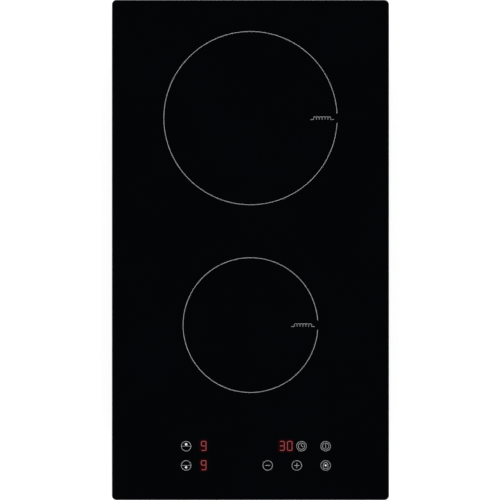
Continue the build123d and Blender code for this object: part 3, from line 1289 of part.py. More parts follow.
def make_cover():
    """Hinged cover of the terminals, flush with the floor of the tray."""
    gap = COVER_CLEARANCE
    low = COVER_FLOOR_GAP
    top = low + COVER_THICKNESS
    left = OPEN_LEFT + gap
    right = OPEN_RIGHT - gap
    rear = OPEN_REAR - gap
    notch = HINGE_EAR_LENGTH + HINGE_SIDE_CLEARANCE
    notch_rear = HINGE_Y + HINGE_BARREL_RADIUS + HINGE_SIDE_CLEARANCE
    cover = between(left, right, notch_rear, rear, low, top)
    cover += between(OPEN_LEFT + notch, OPEN_RIGHT - notch, HINGE_Y, rear, low, top)
    cover += along_x(OPEN_LEFT + notch, OPEN_RIGHT - notch, HINGE_Y, HINGE_HEIGHT, HINGE_BARREL_RADIUS)
    inset = COVER_RIB_INSET
    outer = between(left + inset, right - inset, notch_rear + inset, rear - inset, top, top + COVER_RIB_HEIGHT)
    inner = inset + COVER_RIB
    outer -= between(left + inner, right - inner, notch_rear + inner, rear - inner, top, top + COVER_RIB_HEIGHT)
    cover += outer
    cover -= along_x(OPEN_LEFT, OPEN_RIGHT, HINGE_Y, HINGE_HEIGHT, HINGE_PIN_RADIUS + HINGE_CLEARANCE)
    half = COVER_NOTCH / 2
    return cover - between(BOX_MIDDLE - half, BOX_MIDDLE + half, rear - COVER_RIB, rear, low, top)


def make_hinge_pin():
    return along_x(OPEN_LEFT, OPEN_RIGHT, HINGE_Y, HINGE_HEIGHT, HINGE_PIN_RADIUS)


def make_block():
    """Terminal block that hangs from the top of the box, with a wire way and a screw for each core."""
    front, rear, low = block_limits()
    half = BLOCK_WAYS * BLOCK_PITCH / 2
    top = BOX_TOP - TERMINAL_BOX_WALL
    block = between(BOX_MIDDLE - half, BOX_MIDDLE + half, front, rear, low, top)
    middle = (front + rear) / 2
    for x in block_columns():
        block -= along_y(x, middle + CLAMP_SCREW_RADIUS, rear, block_wire_z(), BLOCK_WIRE_RADIUS)
        block -= upright(x, middle, low, block_wire_z(), CLAMP_SCREW_RADIUS + THREAD_CLEARANCE)
    return block


def make_clamp_screws():
    """Brass clamping screws of the block, slotted, and the earth screw on the floor."""
    front, rear, low = block_limits()
    middle = (front + rear) / 2
    screws = []
    for x in block_columns():
        body = upright(x, middle, low + CLAMP_SCREW_DEPTH / 2, block_wire_z(), CLAMP_SCREW_RADIUS)
        half = SCREW_RECESS_WIDTH / 2
        slot_top = low + CLAMP_SCREW_DEPTH
        body -= between(x - CLAMP_SCREW_RADIUS, x + CLAMP_SCREW_RADIUS, middle - half, middle + half, low, slot_top)
        screws.append(body)
    x, y = EARTH_POINT
    screws.append(Pos(x, y, SHEET) * screw(SHEET))
    return screws


def make_grommet():
    """Rubber bush for the mains cable, through the rear walls of the tray and the box."""
    inner = INSIDE_Y - TERMINAL_BOX_WALL
    neck = CABLE_RADIUS + GROMMET_WALL - GROMMET_CLEARANCE
    flange = CABLE_RADIUS + GROMMET_WALL + GROMMET_FLANGE
    bush = along_y(BOX_MIDDLE, inner, HALF_CASE_Y, CABLE_Z, neck)
    bush += along_y(BOX_MIDDLE, inner - GROMMET_FLANGE_LENGTH, inner, CABLE_Z, flange)
    bush += along_y(BOX_MIDDLE, HALF_CASE_Y, HALF_CASE_Y + GROMMET_FLANGE_LENGTH, CABLE_Z, flange)
    return bush - along_y(BOX_MIDDLE, inner - GROMMET_FLANGE_LENGTH, HALF_CASE_Y + GROMMET_FLANGE_LENGTH,
                          CABLE_Z, CABLE_RADIUS)


def make_mains_wires():
    """Live and neutral from the block to the power board, and earth to its screw on the floor."""
    front, _, _ = block_limits()
    live, neutral, earth = wired_columns()
    socket_x, socket_y = mains_socket_centre()
    end_y = socket_y + SOCKET_DEPTH / 2
    end_z = BOARD_TOP + MAINS_SOCKET_HEIGHT / 2
    start_z = block_wire_z()
    run = front - end_y
    wires = []
    for x, end_x in ((live, socket_x - BLOCK_PITCH / 2), (neutral, socket_x + BLOCK_PITCH / 2)):
        route = [
            (x, front, start_z),
            (x, front - 0.3 * run, start_z),
            (end_x, front - 0.7 * run, end_z),
            (end_x, end_y, end_z),
        ]
        wires.append(routed(route, [0.45 * run, 0.45 * run], MAINS_WIRE_RADIUS))
    x, y = EARTH_POINT
    head = SHEET + SCREW_HEAD_HEIGHT
    route = [(earth, front, start_z), (x, y, start_z), (x, y, head)]
    wires.append(routed(route, [0.6 * (start_z - head)], MAINS_WIRE_RADIUS))
    return wires


def zone_nodes():
    """The pieces of both cooking zones."""
    nodes = {}
    for name, (zone_y, diameter) in zip(("rear", "front"), ZONES):
        nodes[name + "_coil_carrier"] = make_carrier(zone_y, diameter)
        nodes[name + "_ferrites"] = make_ferrites(zone_y, diameter)
        nodes[name + "_coil_winding"] = make_winding(zone_y, diameter, name + " coil")
        nodes[name + "_mica_sheet"] = make_mica(zone_y, diameter)
    return nodes


def all_nodes():
    """Every piece of the hob by name: one solid, or a list of like solids."""
    nodes = {
        "glass_top": make_glass(),
        "worktop_seal": make_seal(),
        "glass_rails": make_rails(),
        "glass_bond": make_bond(),
        "base_tray": make_tray(),
        "case_screws": make_case_screws(),
        "floor_screws": make_floor_screws(),
        "bracket_screws": make_bracket_screws(),
        "bracket_nuts": make_bracket_nuts(),
        "coil_plate": make_coil_plate(),
        "plate_posts": make_posts(),
        "plate_screws": make_plate_screws(),
        "temperature_sensors": make_sensors(),
        "coil_leads": make_coil_leads(),
        "signal_leads": make_signal_leads(),
        "fan_frame": make_fan_frame(),
        "fan_bearing": make_fan_bearing(),
        "fan_stator": make_fan_stator(),
        "fan_impeller": make_fan_impeller(),
        "fan_magnet": make_fan_magnet(),
        "fan_shaft": make_fan_shaft(),
        "fan_screws": make_fan_screws(),
        "board_film": make_film(),
        "power_board": make_power_board(),
        "board_standoffs": make_standoffs(),
        "board_screws": make_board_screws(),
        "heatsink": make_heatsink(),
        "power_semiconductors": make_semiconductors(),
        "film_capacitors": make_capacitors(),
        "electrolytic_capacitors": make_electrolytics(),
        "choke_core": make_choke_core(),
        "choke_windings": make_choke_windings(),
        "supply_transformer": make_transformer(),
        "board_sockets": make_sockets(),
        "coil_studs": make_studs(),
        "control_carrier": make_control_carrier(),
        "control_board": make_control_board(),
        "touch_springs": make_springs(),
        "digit_displays": make_digits(),
        "control_ribbon": make_ribbon(),
        "terminal_box": make_terminal_box(),
        "terminal_cover": make_cover(),
        "cover_hinge_pin": make_hinge_pin(),
        "terminal_block": make_block(),
        "clamp_screws": make_clamp_screws(),
        "cable_grommet": make_grommet(),
        "mains_wires": make_mains_wires(),
    }
    nodes.update(zone_nodes())
    for name, (side, y) in BRACKET_POINTS.items():
        nodes["bracket_" + name] = make_bracket(side, y)
    return nodes


def main():
    os.makedirs("parts", exist_ok=True)
    for name, shape in all_nodes().items():
        solids = shape if isinstance(shape, list) else [shape]
        piece = solids[0] if len(solids) == 1 else Compound(children=solids)
        export_step(piece, os.path.join("parts", name + ".step"))


main()
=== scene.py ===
"""Dressing of a built-in induction hob with two cooking zones.

The frame holds every rigid piece of the hob. This file adds what is printed, lit, wound or riveted on,
gives each piece its finish, and sets the hob in a plain white studio.
Metres. +X is the user's right, +Y the rear of the worktop and +Z is up.
"""
import math

import bmesh
import bpy
from bpy.props import FloatProperty, FloatVectorProperty, IntProperty, PointerProperty
from mathutils import Matrix, Vector


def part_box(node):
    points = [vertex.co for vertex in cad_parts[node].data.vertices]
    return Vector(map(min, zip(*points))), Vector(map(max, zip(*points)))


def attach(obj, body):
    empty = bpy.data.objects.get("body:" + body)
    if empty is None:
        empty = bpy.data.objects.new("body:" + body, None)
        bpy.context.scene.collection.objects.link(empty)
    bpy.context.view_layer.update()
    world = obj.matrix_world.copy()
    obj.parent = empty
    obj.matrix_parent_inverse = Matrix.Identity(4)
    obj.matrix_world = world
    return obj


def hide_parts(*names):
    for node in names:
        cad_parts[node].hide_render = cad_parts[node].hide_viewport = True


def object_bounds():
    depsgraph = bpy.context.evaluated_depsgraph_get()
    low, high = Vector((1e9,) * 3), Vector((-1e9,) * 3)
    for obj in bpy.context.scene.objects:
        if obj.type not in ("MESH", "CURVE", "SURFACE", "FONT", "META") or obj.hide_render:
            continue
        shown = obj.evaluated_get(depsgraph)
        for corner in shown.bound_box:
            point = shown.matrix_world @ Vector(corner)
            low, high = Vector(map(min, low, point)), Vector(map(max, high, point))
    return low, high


bl_info = {
    "name": "Induction hob dressing",
    "version": (1, 0, 0),
    "blender": (4, 5, 0),
    "location": "View3D > Sidebar > Hob",
    "description": "Prints, lights, windings, finishes and studio of a two-zone induction hob",
    "category": "Object",
}

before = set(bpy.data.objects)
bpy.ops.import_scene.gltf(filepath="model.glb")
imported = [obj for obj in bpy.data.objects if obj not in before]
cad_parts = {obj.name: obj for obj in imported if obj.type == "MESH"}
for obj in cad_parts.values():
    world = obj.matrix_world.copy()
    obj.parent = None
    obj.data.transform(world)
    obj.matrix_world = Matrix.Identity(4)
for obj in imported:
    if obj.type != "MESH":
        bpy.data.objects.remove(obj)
CAD_LOW, CAD_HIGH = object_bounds()
GLASS_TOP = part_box("glass_top")[1].z
TRAY_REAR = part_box("base_tray")[1].y

HOB = "hob"
BLACK = (0.0, 0.0, 0.0, 1.0)
WHITE = (1.0, 1.0, 1.0, 1.0)
UPWARD = Vector((0.0, 0.0, 1.0))
REARWARD = Vector((0.0, 1.0, 0.0))

# Points closer than this are one point
SAME_PLACE = 1e-7
# Range that most of a noise texture lies in
NOISE_LOW = 0.3
NOISE_HIGH = 0.7
# Length of a straight step of a printed arc, and the fewest steps in one
ARC_STEP = 0.0006
ARC_LEAST_STEPS = 16
# Radius of a stroke's corners, and what it runs past its two ends together, as shares of its width
STROKE_CORNER = 0.45
STROKE_OVERRUN = 0.9
# How far the print reaches into the glass, and how far a stroke that crosses another is lifted
PRINT_ROOT = 0.00001
CROSSING_LIFT = 0.000004


def length(name, default, description):
    """A size in metres that a user can change."""
    return FloatProperty(name=name, description=description, default=default, unit="LENGTH", precision=5)


def power(name, default, description):
    """The power of a lamp."""
    return FloatProperty(name=name, description=description, default=default, unit="POWER")


def count(name, default, least, description):
    """A whole number that a user can change."""
    return IntProperty(name=name, description=description, default=default, min=least)


def colour(name, default, description):
    """A colour that a user can change."""
    return FloatVectorProperty(name=name, description=description, default=default, size=3,
                               min=0.0, max=1.0, subtype="COLOR")


class HobPrintSettings(bpy.types.PropertyGroup):
    """Sizes, places and inks of the print on the glass."""
    print_height: length("Print height", 0.00004, "How far the fired print stands above the glass")
    rear_ring: length("Rear ring", 0.180, "Diameter of the rear cooking zone's ring")
    front_ring: length("Front ring", 0.140, "Diameter of the front cooking zone's ring")
    ring_line: length("Ring line", 0.00046, "Width of the line of the rings")
    ring_break: length("Ring break", 0.0098, "Break in each ring on the user's right")
    coil_sign_width: length("Coil sign width", 0.024, "Length of the coil sign beside each break")
    coil_sign_inset: length("Coil sign inset", 0.0155, "From the ring to the middle of its coil sign")
    coil_sign_height: length("Coil sign height", 0.0030, "Height of the turns of the coil sign")
    coil_sign_turns: count("Coil sign turns", 6, 2, "Turns of the coil sign")
    key_circle: length("Key circle", 0.0100, "Diameter of the circle of a touch key")
    key_line: length("Key line", 0.00037, "Width of the lines of the touch keys")
    front_row: length("Front row", -0.2238, "Place of the front row of keys along the depth")
    rear_row: length("Rear row", -0.2038, "Place of the rear row of keys along the depth")
    selector_x: length("Selector keys", -0.0668, "Place of the zone selector keys along the width")
    minus_x: length("Minus key", 0.0179, "Place of the minus key along the width")
    plus_x: length("Plus key", 0.0482, "Place of the plus key along the width")
    timer_x: length("Timer key", 0.0530, "Place of the timer key along the width")
    power_x: length("Power and lock keys", 0.0781, "Place of the power and lock keys along the width")
    ring_ink: colour("Ring ink", (0.40, 0.40, 0.405), "Grey ink of the rings and coil signs")
    key_ink: colour("Key ink", (0.42, 0.42, 0.42), "Pale ink of the touch keys")
    mark_ink: colour("Mark ink", (0.86, 0.86, 0.86), "White ink of the filled marks in the keys")


class HobDisplaySettings(bpy.types.PropertyGroup):
    """Sizes, places and light of the digits behind the glass."""
    digit_width: length("Digit width", 0.0048, "Between the middles of the upright strokes")
    digit_height: length("Digit height", 0.0094, "Between the middles of the top and bottom strokes")
    stroke: length("Stroke", 0.0008, "Width of a lit stroke")
    stroke_break: length("Stroke break", 0.00012, "Gap at each end of a lit stroke")
    level_x: length("Level digits", -0.0486, "Place of the power level digits along the width")
    tens_x: length("Timer tens", 0.0328, "Place of the timer's first digit along the width")
    units_x: length("Timer units", 0.0408, "Place of the timer's second digit along the width")
    digit_rise: length("Digit rise", 0.0003, "How far behind the middle of its row a digit sits")
    glow_reach: length("Glow reach", 0.0032, "How far the glow spreads past a digit")
    lit_core: colour("Lit core", (0.34, 0.090, 0.095), "Colour of a lit stroke")
    lit_edge: colour("Lit edge", (0.28, 0.052, 0.058), "Colour of a lit stroke where it is weaker")
    unlit: colour("Unlit stroke", (0.02, 0.002, 0.003), "Colour of a stroke without its light")
    glow: colour("Glow", (0.016, 0.0002, 0.0004), "Colour of the glow in the glass around a digit")


class HobFinishSettings(bpy.types.PropertyGroup):
    """Colours of the finishes."""
    glass: colour("Glass", (0.00105, 0.00133, 0.0019), "Black glass-ceramic")
    zinc_light: colour("Zinc, light", (0.53, 0.55, 0.57), "Bright crystals of the zinc coat")
    zinc_dark: colour("Zinc, dark", (0.35, 0.37, 0.39), "Dull crystals of the zinc coat")
    screw: colour("Screws", (0.60, 0.595, 0.56), "Bright zinc of the screws")
    rubber: colour("Rubber", (0.022, 0.022, 0.024), "Black rubber and foam")
    silicone: colour("Silicone", (0.28, 0.28, 0.29), "Grey silicone under the glass")
    plastic: colour("Black mouldings", (0.030, 0.030, 0.033), "Black moulded plastic")
    pale_plastic: colour("Pale mouldings", (0.62, 0.62, 0.58), "Pale moulded plastic")
    copper: colour("Copper", (0.72, 0.33, 0.15), "Enamelled copper strand")
    aluminium: colour("Aluminium", (0.66, 0.67, 0.68), "Mill finish aluminium")
    brass: colour("Brass", (0.78, 0.58, 0.27), "Turned brass of studs and clamping screws")
    spring_wire: colour("Spring wire", (0.64, 0.64, 0.62), "Steel wire of the touch springs")
    carrier: colour("Coil carriers", (0.13, 0.12, 0.11), "Glass-filled plastic of the coil carriers")
    ferrite: colour("Ferrite", (0.075, 0.075, 0.08), "Fired ferrite bars")
    mica: colour("Mica", (0.70, 0.65, 0.53), "Pressed mica sheets")
    mica_flake: colour("Mica flakes", (0.83, 0.80, 0.71), "Pale flakes in the mica sheets")
    sensor: colour("Sensors", (0.80, 0.80, 0.78), "White silicone of the temperature sensors")
    board: colour("Circuit boards", (0.030, 0.105, 0.050), "Lacquer of the circuit boards")
    board_pad: colour("Board pads", (0.62, 0.60, 0.55), "Tinned pads of the circuit boards")
    film: colour("Board film", (0.60, 0.58, 0.50), "Insulating film under the power board")
    component: colour("Transistors", (0.028, 0.028, 0.030), "Black plastic of the power transistors")
    film_capacitor: colour("Film capacitors", (0.40, 0.41, 0.42), "Grey plastic of the film capacitors")
    can_sleeve: colour("Capacitor sleeves", (0.035, 0.05, 0.12), "Sleeves of the electrolytic capacitors")
    core: colour("Cores", (0.09, 0.09, 0.10), "Cores of the choke and the transformer")
    display: colour("Digit displays", (0.04, 0.04, 0.042), "Black plastic of the digit displays")
    magnet: colour("Fan magnet", (0.10, 0.10, 0.105), "Bonded magnet ring of the fan")
    sleeve: colour("Coil leads", (0.62, 0.60, 0.54), "Woven sleeves of the coil leads")
    signal_lead: colour("Signal leads", (0.66, 0.66, 0.64), "White sheath of the signal leads")
    ribbon: colour("Ribbon", (0.22, 0.22, 0.23), "Grey sheath of the ribbon lead")
    ribbon_core: colour("Ribbon cores", (0.36, 0.36, 0.37), "Cores that show in the ribbon lead")
    live: colour("Live lead", (0.15, 0.055, 0.02), "Brown mains lead")
    neutral: colour("Neutral lead", (0.03, 0.10, 0.38), "Blue mains lead")
    earth: colour("Earth lead", (0.10, 0.36, 0.05), "Green of the earth lead")
    earth_stripe: colour("Earth stripe", (0.68, 0.55, 0.03), "Yellow stripe of the earth lead")


class HobCoilSettings(bpy.types.PropertyGroup):
    """Sizes of the wound strand."""
    wire: length("Strand", 0.0024, "Diameter of the twisted strand")
    inner_radius: length("Inner radius", 0.024, "Radius of the first turn")
    pitch: length("Pitch", 0.003, "Distance between neighbouring turns")
    tail: length("Tail bend", 0.0036, "Reach of the bend at each end of the strand")
    lay: length("Lay", 0.048, "Length of strand in which the bundles go round once")
    bundles: count("Bundles", 6, 3, "Bundles of wires in the strand")
    step: length("Step", 0.002, "Length of a straight step of the strand")


class HobPlateSettings(bpy.types.PropertyGroup):
    """Sizes and place of the blank plate."""
    width: length("Width", 0.064, "Width of the plate")
    height: length("Height", 0.026, "Height of the plate")
    thickness: length("Thickness", 0.0004, "Thickness of the plate")
    corner: length("Corner", 0.002, "Radius of the plate's corners")
    rivet: length("Rivet", 0.0013, "Radius of a rivet's head")
    middle_x: length("Place along the width", -0.070, "Middle of the plate along the width")
    middle_z: length("Height of the middle", 0.021, "Middle of the plate above the floor")


class HobStageSettings(bpy.types.PropertyGroup):
    """Camera, lamps and floor."""
    lens: FloatProperty(name="Lens", description="Focal length of the camera in millimetres", default=100.0,
                        unit="CAMERA")
    camera_height: length("Camera height", 1.4428, "From the top of the glass up to the camera")
    camera_shift: length("Camera offset", -0.00048, "Sideways place of the camera")
    side_power: power("Side lamps", 8.6, "Power of each lamp at the long sides")
    end_power: power("End lamps", 8.0, "Power of each lamp at the ends")
    below_power: power("Lamp below", 19.0, "Power of the lamp under the floor")
    lamp_height: length("Lamp height", 0.95, "Height of the side and end lamps")
    side_reach: length("Side lamps' reach", 1.05, "From the middle out to a side lamp")
    end_reach: length("End lamps' reach", 1.35, "From the middle out to an end lamp")
    below_depth: length("Depth of the lamp below", 1.2, "From the floor down to the lamp below")
    floor_size: length("Floor", 30.0, "Side of the floor")
    floor_white: FloatProperty(name="Floor white", description="Share of plain white in the floor's look",
                               default=0.56, min=0.0, max=1.0, subtype="FACTOR")
    shadow_near: length("Shadow, near", 0.5, "Distance up to which the floor shows all of a shadow")
    shadow_far: length("Shadow, far", 1.8, "Distance from which the floor is plain white")


def opaque(rgb):
    """A colour with full cover, as a socket takes it."""
    return (rgb[0], rgb[1], rgb[2], 1.0)


def shade(rgb, factor):
    """A lighter or darker tone of a colour."""
    return tuple(min(1.0, part * factor) for part in rgb)


def flat(x, y):
    """A point on the plane of the floor."""
    return Vector((x, y, 0.0))


def middle_of(name):
    """Middle of a piece of the frame, on the plane of the floor."""
    low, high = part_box(name)
    return flat((low.x + high.x) / 2, (low.y + high.y) / 2)


def set_inputs(tree, node, inputs):
    """Sets a node's inputs, or links those that are given a socket."""
    for name, value in inputs.items():
        if isinstance(value, bpy.types.NodeSocket):
            tree.links.new(value, node.inputs[name])
        else:
            node.inputs[name].default_value = value


def add_node(tree, kind, inputs=None, **settings):
    """A node with its settings, and its inputs set or linked."""
    made = tree.nodes.new(kind)
    for name, value in settings.items():
        setattr(made, name, value)
    set_inputs(tree, made, inputs or {})
    return made


def combine(tree, operation, first, second=0.0):
    """One step of arithmetic on numbers."""
    return add_node(tree, "ShaderNodeMath", {0: first, 1: second}, operation=operation).outputs[0]


def combine_vectors(tree, operation, first, second=(0.0, 0.0, 0.0)):
    """One step of arithmetic on vectors."""
    made = add_node(tree, "ShaderNodeVectorMath", {0: first, 1: second}, operation=operation)
    return made.outputs["Vector"]


def scale_vector(tree, vector, factor):
    """A vector made longer or shorter."""
    made = add_node(tree, "ShaderNodeVectorMath", {0: vector, 3: factor}, operation="SCALE")
    return made.outputs["Vector"]


def vector_length(tree, vector):
    """Length of a vector."""
    return add_node(tree, "ShaderNodeVectorMath", {0: vector}, operation="LENGTH").outputs["Value"]


def along_axes(tree, vector):
    """X, Y and Z of a vector."""
    return add_node(tree, "ShaderNodeSeparateXYZ", {0: vector}).outputs


def parts_of_colour(tree, value):
    """Three independent numbers from a colour."""
    return add_node(tree, "ShaderNodeSeparateColor", {0: value}).outputs


def spread(tree, value, low, high, start=0.0, end=1.0, smooth=False):
    """Moves a number from one range to another, and holds it there."""
    inputs = {"Value": value, "From Min": low, "From Max": high, "To Min": start, "To Max": end}
    kind = "SMOOTHSTEP" if smooth else "LINEAR"
    return add_node(tree, "ShaderNodeMapRange", inputs, interpolation_type=kind).outputs[0]


def add_noise(tree, vector, scale, detail, roughness=0.5):
    """Soft noise. Its first output is a number, its second a colour."""
    inputs = {"Vector": vector, "Scale": scale, "Detail": detail, "Roughness": roughness}
    return add_node(tree, "ShaderNodeTexNoise", inputs).outputs


def mix_colours(tree, factor, first, second, blend="MIX"):
    """Colour between two colours by a factor."""
    inputs = {0: factor, 6: first, 7: second}
    return add_node(tree, "ShaderNodeMix", inputs, data_type="RGBA", blend_type=blend).outputs[2]


def mix_values(tree, factor, first, second):
    """Number between two numbers by a factor."""
    return add_node(tree, "ShaderNodeMix", {0: factor, 2: first, 3: second}).outputs[0]


def fill_ramp(ramp, stops):
    """Sets the colours of a new ramp and their places."""
    first, *others, last = stops
    for element, (place, rgb) in zip(ramp.elements, (first, last)):
        element.position = place
        element.color = opaque(rgb)
    for place, rgb in others:
        ramp.elements.new(place).color = opaque(rgb)


def fill_colour_drift(tree, given, out):
    """Slow change between two colours."""
    noise = add_noise(tree, given["Vector"], given["Scale"], detail=4.0, roughness=0.6)
    share = spread(tree, noise[0], NOISE_LOW, NOISE_HIGH)
    tree.links.new(mix_colours(tree, share, given["First"], given["Second"]), out["Color"])


def fill_fine_grain(tree, given, out):
    """Fine uneven grain: a value between two limits, and a height."""
    noise = add_noise(tree, given["Vector"], given["Scale"], detail=5.0, roughness=0.65)
    tree.links.new(spread(tree, noise[0], NOISE_LOW, NOISE_HIGH, given["Low"], given["High"]), out["Value"])
    tree.links.new(noise[0], out["Height"])


def fill_brushed_lines(tree, given, out):
    """Fine lines drawn along one direction: a value between two limits, and a height."""
    drawn = combine_vectors(tree, "MULTIPLY", given["Vector"], given["Stretch"])
    noise = add_noise(tree, drawn, scale=1.0, detail=4.0, roughness=0.7)
    tree.links.new(spread(tree, noise[0], NOISE_LOW, NOISE_HIGH, given["Low"], given["High"]), out["Value"])
    tree.links.new(noise[0], out["Height"])


def fill_zinc_crystals(tree, given, out):
    """Frost-like crystals of a zinc coat, each with fine streaks in a direction of its own."""
    edge_bend = 0.003
    streak_scale = (170.0, 1500.0, 1500.0)
    crystal_share = 0.6
    dullest, brightest = 0.35, 1.25
    smoothest, roughest = 0.30, 0.46
    bend = add_noise(tree, given["Vector"], given["Scale"], detail=3.0)
    place = combine_vectors(tree, "ADD", given["Vector"], scale_vector(tree, bend["Color"], edge_bend))
    cells = add_node(tree, "ShaderNodeTexVoronoi", {"Vector": place, "Scale": given["Scale"]})
    tone, gloss, turn = parts_of_colour(tree, cells.outputs["Color"])
    angle = combine(tree, "MULTIPLY", turn, math.pi)
    inputs = {"Vector": given["Vector"], "Axis": (1.0, 1.0, 1.0), "Angle": angle}
    turned = add_node(tree, "ShaderNodeVectorRotate", inputs).outputs[0]
    drawn = combine_vectors(tree, "MULTIPLY", turned, streak_scale)
    streaks = add_noise(tree, drawn, scale=1.0, detail=3.0)
    mixed = combine(tree, "ADD", combine(tree, "MULTIPLY", tone, crystal_share), streaks[0])
    share = spread(tree, mixed, dullest, brightest)
    tree.links.new(mix_colours(tree, share, given["Dull"], given["Bright"]), out["Color"])
    tree.links.new(spread(tree, gloss, 0.0, 1.0, smoothest, roughest), out["Roughness"])
    tree.links.new(streaks[0], out["Height"])


def fill_board_tracks(tree, given, out):
    """Tracks that run along or across the squares of a grid, and round pads in some of the squares."""
    level = (1.0, 1.0, 0.0)
    middle = (0.5, 0.5, 0.5)
    share_lengthways = 0.42
    share_bare = 0.86
    track_outside, track_inside = 0.24, 0.18
    pad_outside, pad_inside = 0.36, 0.30
    place = scale_vector(tree, given["Vector"], given["Grid"])
    square = combine_vectors(tree, "MULTIPLY", combine_vectors(tree, "FLOOR", place), level)
    chance = add_node(tree, "ShaderNodeTexWhiteNoise", {"Vector": square})
    chances = parts_of_colour(tree, chance.outputs["Color"])
    inside = combine_vectors(tree, "SUBTRACT", combine_vectors(tree, "FRACTION", place), middle)
    inside = combine_vectors(tree, "MULTIPLY", inside, level)
    off = along_axes(tree, inside)
    across = combine(tree, "ABSOLUTE", off["X"])
    along = combine(tree, "ABSOLUTE", off["Y"])
    turned = combine(tree, "GREATER_THAN", chances[0], share_lengthways)
    track = spread(tree, mix_values(tree, turned, across, along), track_outside, track_inside)
    pad = spread(tree, vector_length(tree, inside), pad_outside, pad_inside)
    chosen = combine(tree, "GREATER_THAN", chances[1], share_bare)
    tree.links.new(track, out["Track"])
    tree.links.new(combine(tree, "MULTIPLY", pad, chosen), out["Pad"])


# What fills each shared group, and the kinds of its inputs and outputs
GROUPS = {
    "Colour drift": (
        fill_colour_drift,
        {"Vector": "Vector", "Scale": "Float", "First": "Color", "Second": "Color"},
        {"Color": "Color"},
    ),
    "Fine grain": (
        fill_fine_grain,
        {"Vector": "Vector", "Scale": "Float", "Low": "Float", "High": "Float"},
        {"Value": "Float", "Height": "Float"},
    ),
    "Brushed lines": (
        fill_brushed_lines,
        {"Vector": "Vector", "Stretch": "Vector", "Low": "Float", "High": "Float"},
        {"Value": "Float", "Height": "Float"},
    ),
    "Zinc crystals": (
        fill_zinc_crystals,
        {"Vector": "Vector", "Scale": "Float", "Dull": "Color", "Bright": "Color"},
        {"Color": "Color", "Roughness": "Float", "Height": "Float"},
    ),
    "Board tracks": (
        fill_board_tracks,
        {"Vector": "Vector", "Grid": "Float"},
        {"Track": "Float", "Pad": "Float"},
    ),
}


def shared_group(name):
    """A shader node group, built when it is first asked for."""
    if name in bpy.data.node_groups:
        return bpy.data.node_groups[name]
    fill, inputs, outputs = GROUPS[name]
    tree = bpy.data.node_groups.new(name, "ShaderNodeTree")
    for way, sockets in (("INPUT", inputs), ("OUTPUT", outputs)):
        for label, kind in sockets.items():
            tree.interface.new_socket(name=label, in_out=way, socket_type="NodeSocket" + kind)
    fill(tree, tree.nodes.new("NodeGroupInput").outputs, tree.nodes.new("NodeGroupOutput").inputs)
    return tree


def place_group(tree, name, **inputs):
    """Places a shared group in a material and gives its outputs."""
    made = add_node(tree, "ShaderNodeGroup", node_tree=shared_group(name))
    set_inputs(tree, made, inputs)
    return made.outputs


def start_material(name, **sockets):
    """A material with its shader, and the object coordinates that its patterns read."""
    material = bpy.data.materials.new(name)
    material.use_nodes = True
    tree = material.node_tree
    shader = tree.nodes["Principled BSDF"]
    for label, value in sockets.items():
        shader.inputs[label.replace("_", " ")].default_value = value
    where = tree.nodes.new("ShaderNodeTexCoord").outputs["Object"]
    return material, tree, shader, where


def set_bump(tree, shader, height, strength, depth):
    """Gives a shader a relief."""
    bump = add_node(tree, "ShaderNodeBump", {"Strength": strength, "Distance": depth, "Height": height})
    tree.links.new(bump.outputs[0], shader.inputs["Normal"])


def drifting_colour(tree, where, scale, first, second):
    """A colour that drifts slowly between two colours."""
    return place_group(tree, "Colour drift", Vector=where, Scale=scale, First=opaque(first),
                       Second=opaque(second))["Color"]


def grained(name, first, second, drift, grain, rough, depth=0.0, **sockets):
    """A finish with slow colour drift, uneven gloss and, where a depth is given, a fine relief."""
    material, tree, shader, where = start_material(name, **sockets)
    speck = place_group(tree, "Fine grain", Vector=where, Scale=grain, Low=rough[0], High=rough[1])
    tree.links.new(drifting_colour(tree, where, drift, first, second), shader.inputs["Base Color"])
    tree.links.new(speck["Value"], shader.inputs["Roughness"])
    if depth:
        set_bump(tree, shader, speck["Height"], strength=0.6, depth=depth)
    return material


def brushed(name, first, second, stretch, rough, depth=0.00001):
    """Drawn, turned or brushed metal."""
    material, tree, shader, where = start_material(name, Metallic=1.0)
    lines = place_group(tree, "Brushed lines", Vector=where, Stretch=stretch, Low=rough[0], High=rough[1])
    tone = mix_colours(tree, lines["Height"], opaque(first), opaque(second))
    tree.links.new(tone, shader.inputs["Base Color"])
    tree.links.new(lines["Value"], shader.inputs["Roughness"])
    set_bump(tree, shader, lines["Height"], strength=0.5, depth=depth)
    return material


def galvanised(name, dull, bright, crystals):
    """Zinc-coated sheet with visible crystals."""
    material, tree, shader, where = start_material(name, Metallic=1.0)
    coat = place_group(tree, "Zinc crystals", Vector=where, Scale=crystals, Dull=opaque(dull),
                       Bright=opaque(bright))
    tree.links.new(coat["Color"], shader.inputs["Base Color"])
    tree.links.new(coat["Roughness"], shader.inputs["Roughness"])
    set_bump(tree, shader, coat["Height"], strength=0.35, depth=0.00006)
    return material


def lacquered_board(name, tone, pad, grid):
    """Circuit board: tracks under a coloured lacquer, with tinned pads."""
    material, tree, shader, where = start_material(name, Coat_Weight=0.2, Roughness=0.35)
    marks = place_group(tree, "Board tracks", Vector=where, Grid=grid)
    lacquer = mix_colours(tree, marks["Track"], opaque(shade(tone, 0.8)), opaque(shade(tone, 1.7)))
    tree.links.new(mix_colours(tree, marks["Pad"], lacquer, opaque(pad)), shader.inputs["Base Color"])
    tree.links.new(marks["Pad"], shader.inputs["Metallic"])
    set_bump(tree, shader, marks["Track"], strength=0.4, depth=0.00005)
    return material


def ribbon_lead(name, sheath, core):
    """Ribbon lead with its cores showing as lines."""
    material, tree, shader, where = start_material(name, Roughness=0.45)
    waves = add_node(tree, "ShaderNodeTexWave", {"Vector": where, "Scale": 250.0}, bands_direction="X")
    cores = waves.outputs["Fac"]
    tree.links.new(mix_colours(tree, cores, opaque(sheath), opaque(core)), shader.inputs["Base Color"])
    set_bump(tree, shader, cores, strength=0.6, depth=0.0002)
    return material


